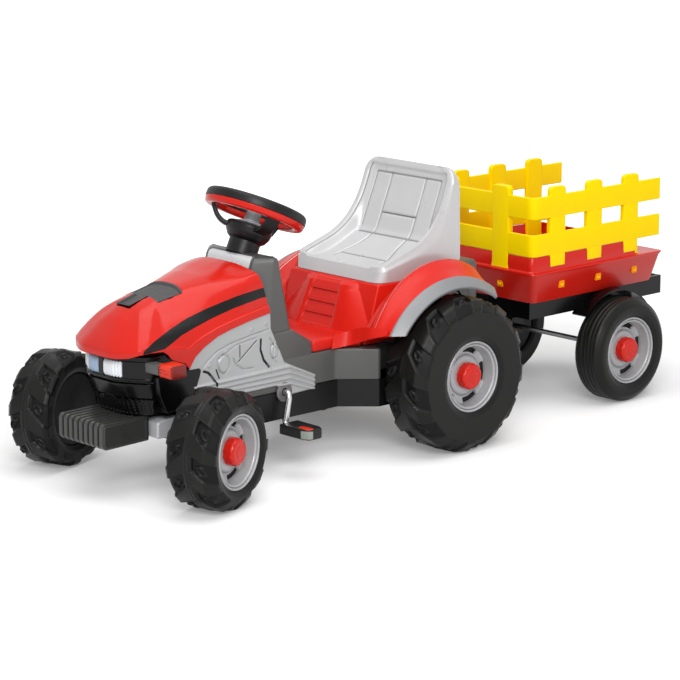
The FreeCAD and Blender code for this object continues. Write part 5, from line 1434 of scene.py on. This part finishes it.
@dataclass
class Trailer:
    """Red tray with a yellow fence on a black frame."""

    front: float = -263.0
    rear: float = -636.0
    half: float = 142.0
    post_xs: tuple[float, ...] = (-340.0, -443.0, -547.0)
    post_ys: tuple[float, ...] = (48.0, -92.0)
    rails: tuple[tuple[float, float], ...] = ((303.0, 345.0), (374.0, 416.0))
    top: float = 432.0

    def tray(self) -> None:
        """Rounded rectangles stacked from the underside over the ledge to the floor, each
        drawn in at the front, the back and the sides."""
        levels = [
            (17, 17, 17, 214), (16, 16, 15, 216), (4, 5, 3, 266), (1, 1, 0.5, 271), (1, 1, 1.5, 273),
            (6, 62, 8, 274), (7.5, 64, 9.5, 276), (8, 64, 10, 300), (9, 65, 11, 302), (11, 66, 13, 302),
            (12, 67, 14, 300), (19, 20, 22, 224), (23, 24, 26, 222.5),
        ]
        rear, front, half = self.rear, self.front, self.half
        rings = [box_outline((rear + b, s - half), (front - f, half - s), 12.0) for f, b, s, _ in levels]
        shell = Shell("trailer_tub")
        shell.rings(carried(np.stack(rings), [level[3] for level in levels], Axis.Z))
        settle(shell, RED, "trailer_tray")

    def post(self, shell: Shell, at: float, axis: Axis, low: float, high: float) -> None:
        """A flat post with a rounded head and a flared foot, carried through its thickness."""
        foot, half, top = 25.0, 21.0, self.top
        outline = [(-foot, 272), (foot, 272), (half, 283), (half, top), (-half, top), (-half, 283)]
        outline = rounded(outline, [1, 1, 6, 9, 9, 6]) + np.array([at, 0.0])
        shell.prism(outline, axis, (low, high), 2.0)

    def latch(self, shell: Shell, at: float, axis: Axis, low: float, high: float) -> None:
        """A small orange catch under the ledge, with a raised bow on it."""
        shell.prism(box_outline((at - 7.5, 237), (at + 7.5, 252), 2.0), axis, (low, high), 1.5, 2.0)
        outer = max(low, high) if axis is Axis.X else max(low, high, key=abs)
        angle = np.linspace(np.pi, 2 * np.pi, 20)
        bow = np.column_stack([at + 3.5 * np.cos(angle), 246.0 + 4.0 * np.sin(angle)])
        bow = np.insert(bow, axis.value, outer, axis=1)
        wire = np.hstack([np.cos(around(8)), np.sin(around(8))])
        shell.rings(tube(bow, wire, tuple(np.eye(3)[axis.value])))

    def fence(self) -> None:
        """Two rails round three sides, flat posts and the latches under the ledge."""
        shell = Shell("trailer_pickets")
        path = [(-630, 129.5), (-285, 129.5), (-279, 128.6), (-275, 125), (-273.6, 119), (-273.6, 0)]
        path = resample(np.array(path + [(x, -y) for x, y in path[-2::-1]], float), 180)
        for low, high in self.rails:
            flat = np.column_stack([path, np.full(len(path), (low + high) / 2)])
            shell.rings(tube(flat, box_outline((-3.2, (low - high) / 2), (3.2, (high - low) / 2), 2.0)))
        for side in Side:
            for x in self.post_xs:
                self.post(shell, x, Axis.Y, side.value * 121.5, side.value * 132.4)
                self.latch(shell, x - 10.0, Axis.Y, side.value * 128.0, side.value * 135.5)
        for y in self.post_ys:
            self.post(shell, y, Axis.X, -284.0, -270.1)
            self.latch(shell, y, Axis.X, -284.0, -271.0)
        settle(shell, YELLOW_LATCH, "trailer_fence")

    def build(self) -> None:
        """Tray, fence and the frame's own black pieces."""
        self.tray()
        self.fence()
        dress(BLACK_GLOSS, "trailer_chassis", "trailer_drawbar")
        dress(STEEL, "trailer_axle", "hitch_pin")


@dataclass(frozen=True)
class Lamp:
    """A square soft lamp, in metres, turned to face a point."""

    name: str
    at: Place
    aim: Place
    size: float
    watts: float

    def build(self) -> None:
        """Adds the lamp to the scene."""
        data = bpy.data.lights.new(self.name, "AREA")
        data.size, data.energy = self.size, self.watts
        made = linked(self.name, data)
        x, y, z = np.asarray(self.aim) - np.asarray(self.at)
        made.location = self.at
        made.rotation_euler = (math.atan2(math.hypot(x, y), -z), 0.0, math.atan2(y, x) - math.pi / 2)


@dataclass
class Studio:
    """Camera, soft light, white surroundings and a pale floor."""

    lamps: tuple[Lamp, ...] = (
        Lamp("overhead", (0.3, 0.5, 3.2), (0.0, 0.0, 0.2), 3.0, 72.0),
        Lamp("key", (2.9, 3.5, 2.7), (0.0, 0.0, 0.25), 2.0, 150.0),
    )
    white: tuple[float, ...] = (1.0, 1.0, 1.0, 1.0)
    floor_reach: float = 30.0
    floor_grey: tuple[float, ...] = (0.82, 0.82, 0.82, 1.0)
    camera_at: Place = (3425.746, 3586.488, 1286.332)
    heading: float = -2.319
    pitch: float = -0.222
    focal_px: float = 2753.945
    image_px: float = 680.0
    sensor_mm: float = 36.0

    def camera(self) -> None:
        """Camera at the photograph's view."""
        data = bpy.data.cameras.new("view")
        data.sensor_width = self.sensor_mm
        data.lens = self.focal_px / self.image_px * self.sensor_mm
        made = linked("view", data)
        made.location = place(self.camera_at)
        made.rotation_euler = (math.pi / 2 + self.pitch, 0.0, self.heading - math.pi / 2)
        bpy.context.scene.camera = made

    def seen(self, tree: Tree) -> Socket:
        """1 for rays that look at the surroundings, straight, mirrored or through a lens."""
        path = node(tree, "ShaderNodeLightPath").outputs
        total = path["Is Camera Ray"]
        for name in ("Is Glossy Ray", "Is Transmission Ray"):
            both = {0: total, 1: path[name]}
            total = node(tree, "ShaderNodeMath", both, operation="ADD", use_clamp=True).outputs["Value"]
        return total

    def world(self) -> None:
        """White to look at, softer as a light."""
        made = bpy.data.worlds.new("studio white")
        tree = blank(made)
        levels = {"Value": self.seen(tree), "To Min": 0.36, "To Max": 1.0}
        strength = node(tree, "ShaderNodeMapRange", levels).outputs["Result"]
        light = node(tree, "ShaderNodeBackground", {"Color": self.white, "Strength": strength})
        node(tree, "ShaderNodeOutputWorld", {"Surface": light.outputs["Background"]})
        bpy.context.scene.world = made

    def floor(self) -> None:
        """Large pale floor that shows white where no shadow falls."""
        reach = self.floor_reach
        corners = [(-reach, -reach, 0), (reach, -reach, 0), (reach, reach, 0), (-reach, reach, 0)]
        mesh = bpy.data.meshes.new("floor")
        mesh.from_pydata(corners, [], [[0, 1, 2, 3]])
        made = bpy.data.materials.new("matt white floor paint")
        tree = blank(made)
        matt = node(tree, "ShaderNodeBsdfDiffuse", {"Color": self.floor_grey}).outputs["BSDF"]
        where = node(tree, "ShaderNodeTexCoord").outputs["Object"]
        far = node(tree, "ShaderNodeVectorMath", {0: where}, operation="LENGTH").outputs["Value"]
        levels = {"Value": far, "From Min": 0.8, "From Max": 2.2, "To Min": 0.2, "To Max": 0.95}
        level = node(tree, "ShaderNodeMapRange", levels).outputs["Result"]
        share = {0: self.seen(tree), 1: level}
        lift = node(tree, "ShaderNodeMath", share, operation="MULTIPLY").outputs["Value"]
        light = node(tree, "ShaderNodeEmission", {"Color": self.white, "Strength": lift}).outputs["Emission"]
        both = node(tree, "ShaderNodeAddShader", {0: matt, 1: light}).outputs["Shader"]
        node(tree, "ShaderNodeOutputMaterial", {"Surface": both})
        mesh.materials.append(made)
        plane = linked("floor", mesh)

    def build(self) -> None:
        """The whole studio."""
        self.camera()
        self.world()
        self.floor()
        for lamp in self.lamps:
            lamp.build()
        bpy.context.scene.view_settings.view_transform = "Standard"


def wheels() -> list[Wheel]:
    """The six wheels with their sizes."""
    made = []
    for side in Side:
        made += [
            Wheel(f"front_{side.word}", side, 574.0, 210.0, 102.0, 91.0, 10, STEER_DEG),
            Wheel(f"rear_{side.word}", side, 0.0, 202.0, 140.0, 96.0, 12),
            Wheel(f"trailer_{side.word}", side, -493.0, 159.0, 101.5, 64.0),
        ]
    return made


def main() -> None:
    """Builds every sub-assembly."""
    logging.basicConfig(level=logging.INFO, format="%(message)s")
    Studio().build()
    tractor = [Bonnet(), FrontEnd(), Dash(), EnginePanels(), Body(), SeatBase(), Seat(), Steering(), Drive()]
    for assembly in (*wheels(), *tractor, Trailer()):
        LOG.info("building %s", type(assembly).__name__)
        assembly.build()


if __name__ == "__main__":
    main()
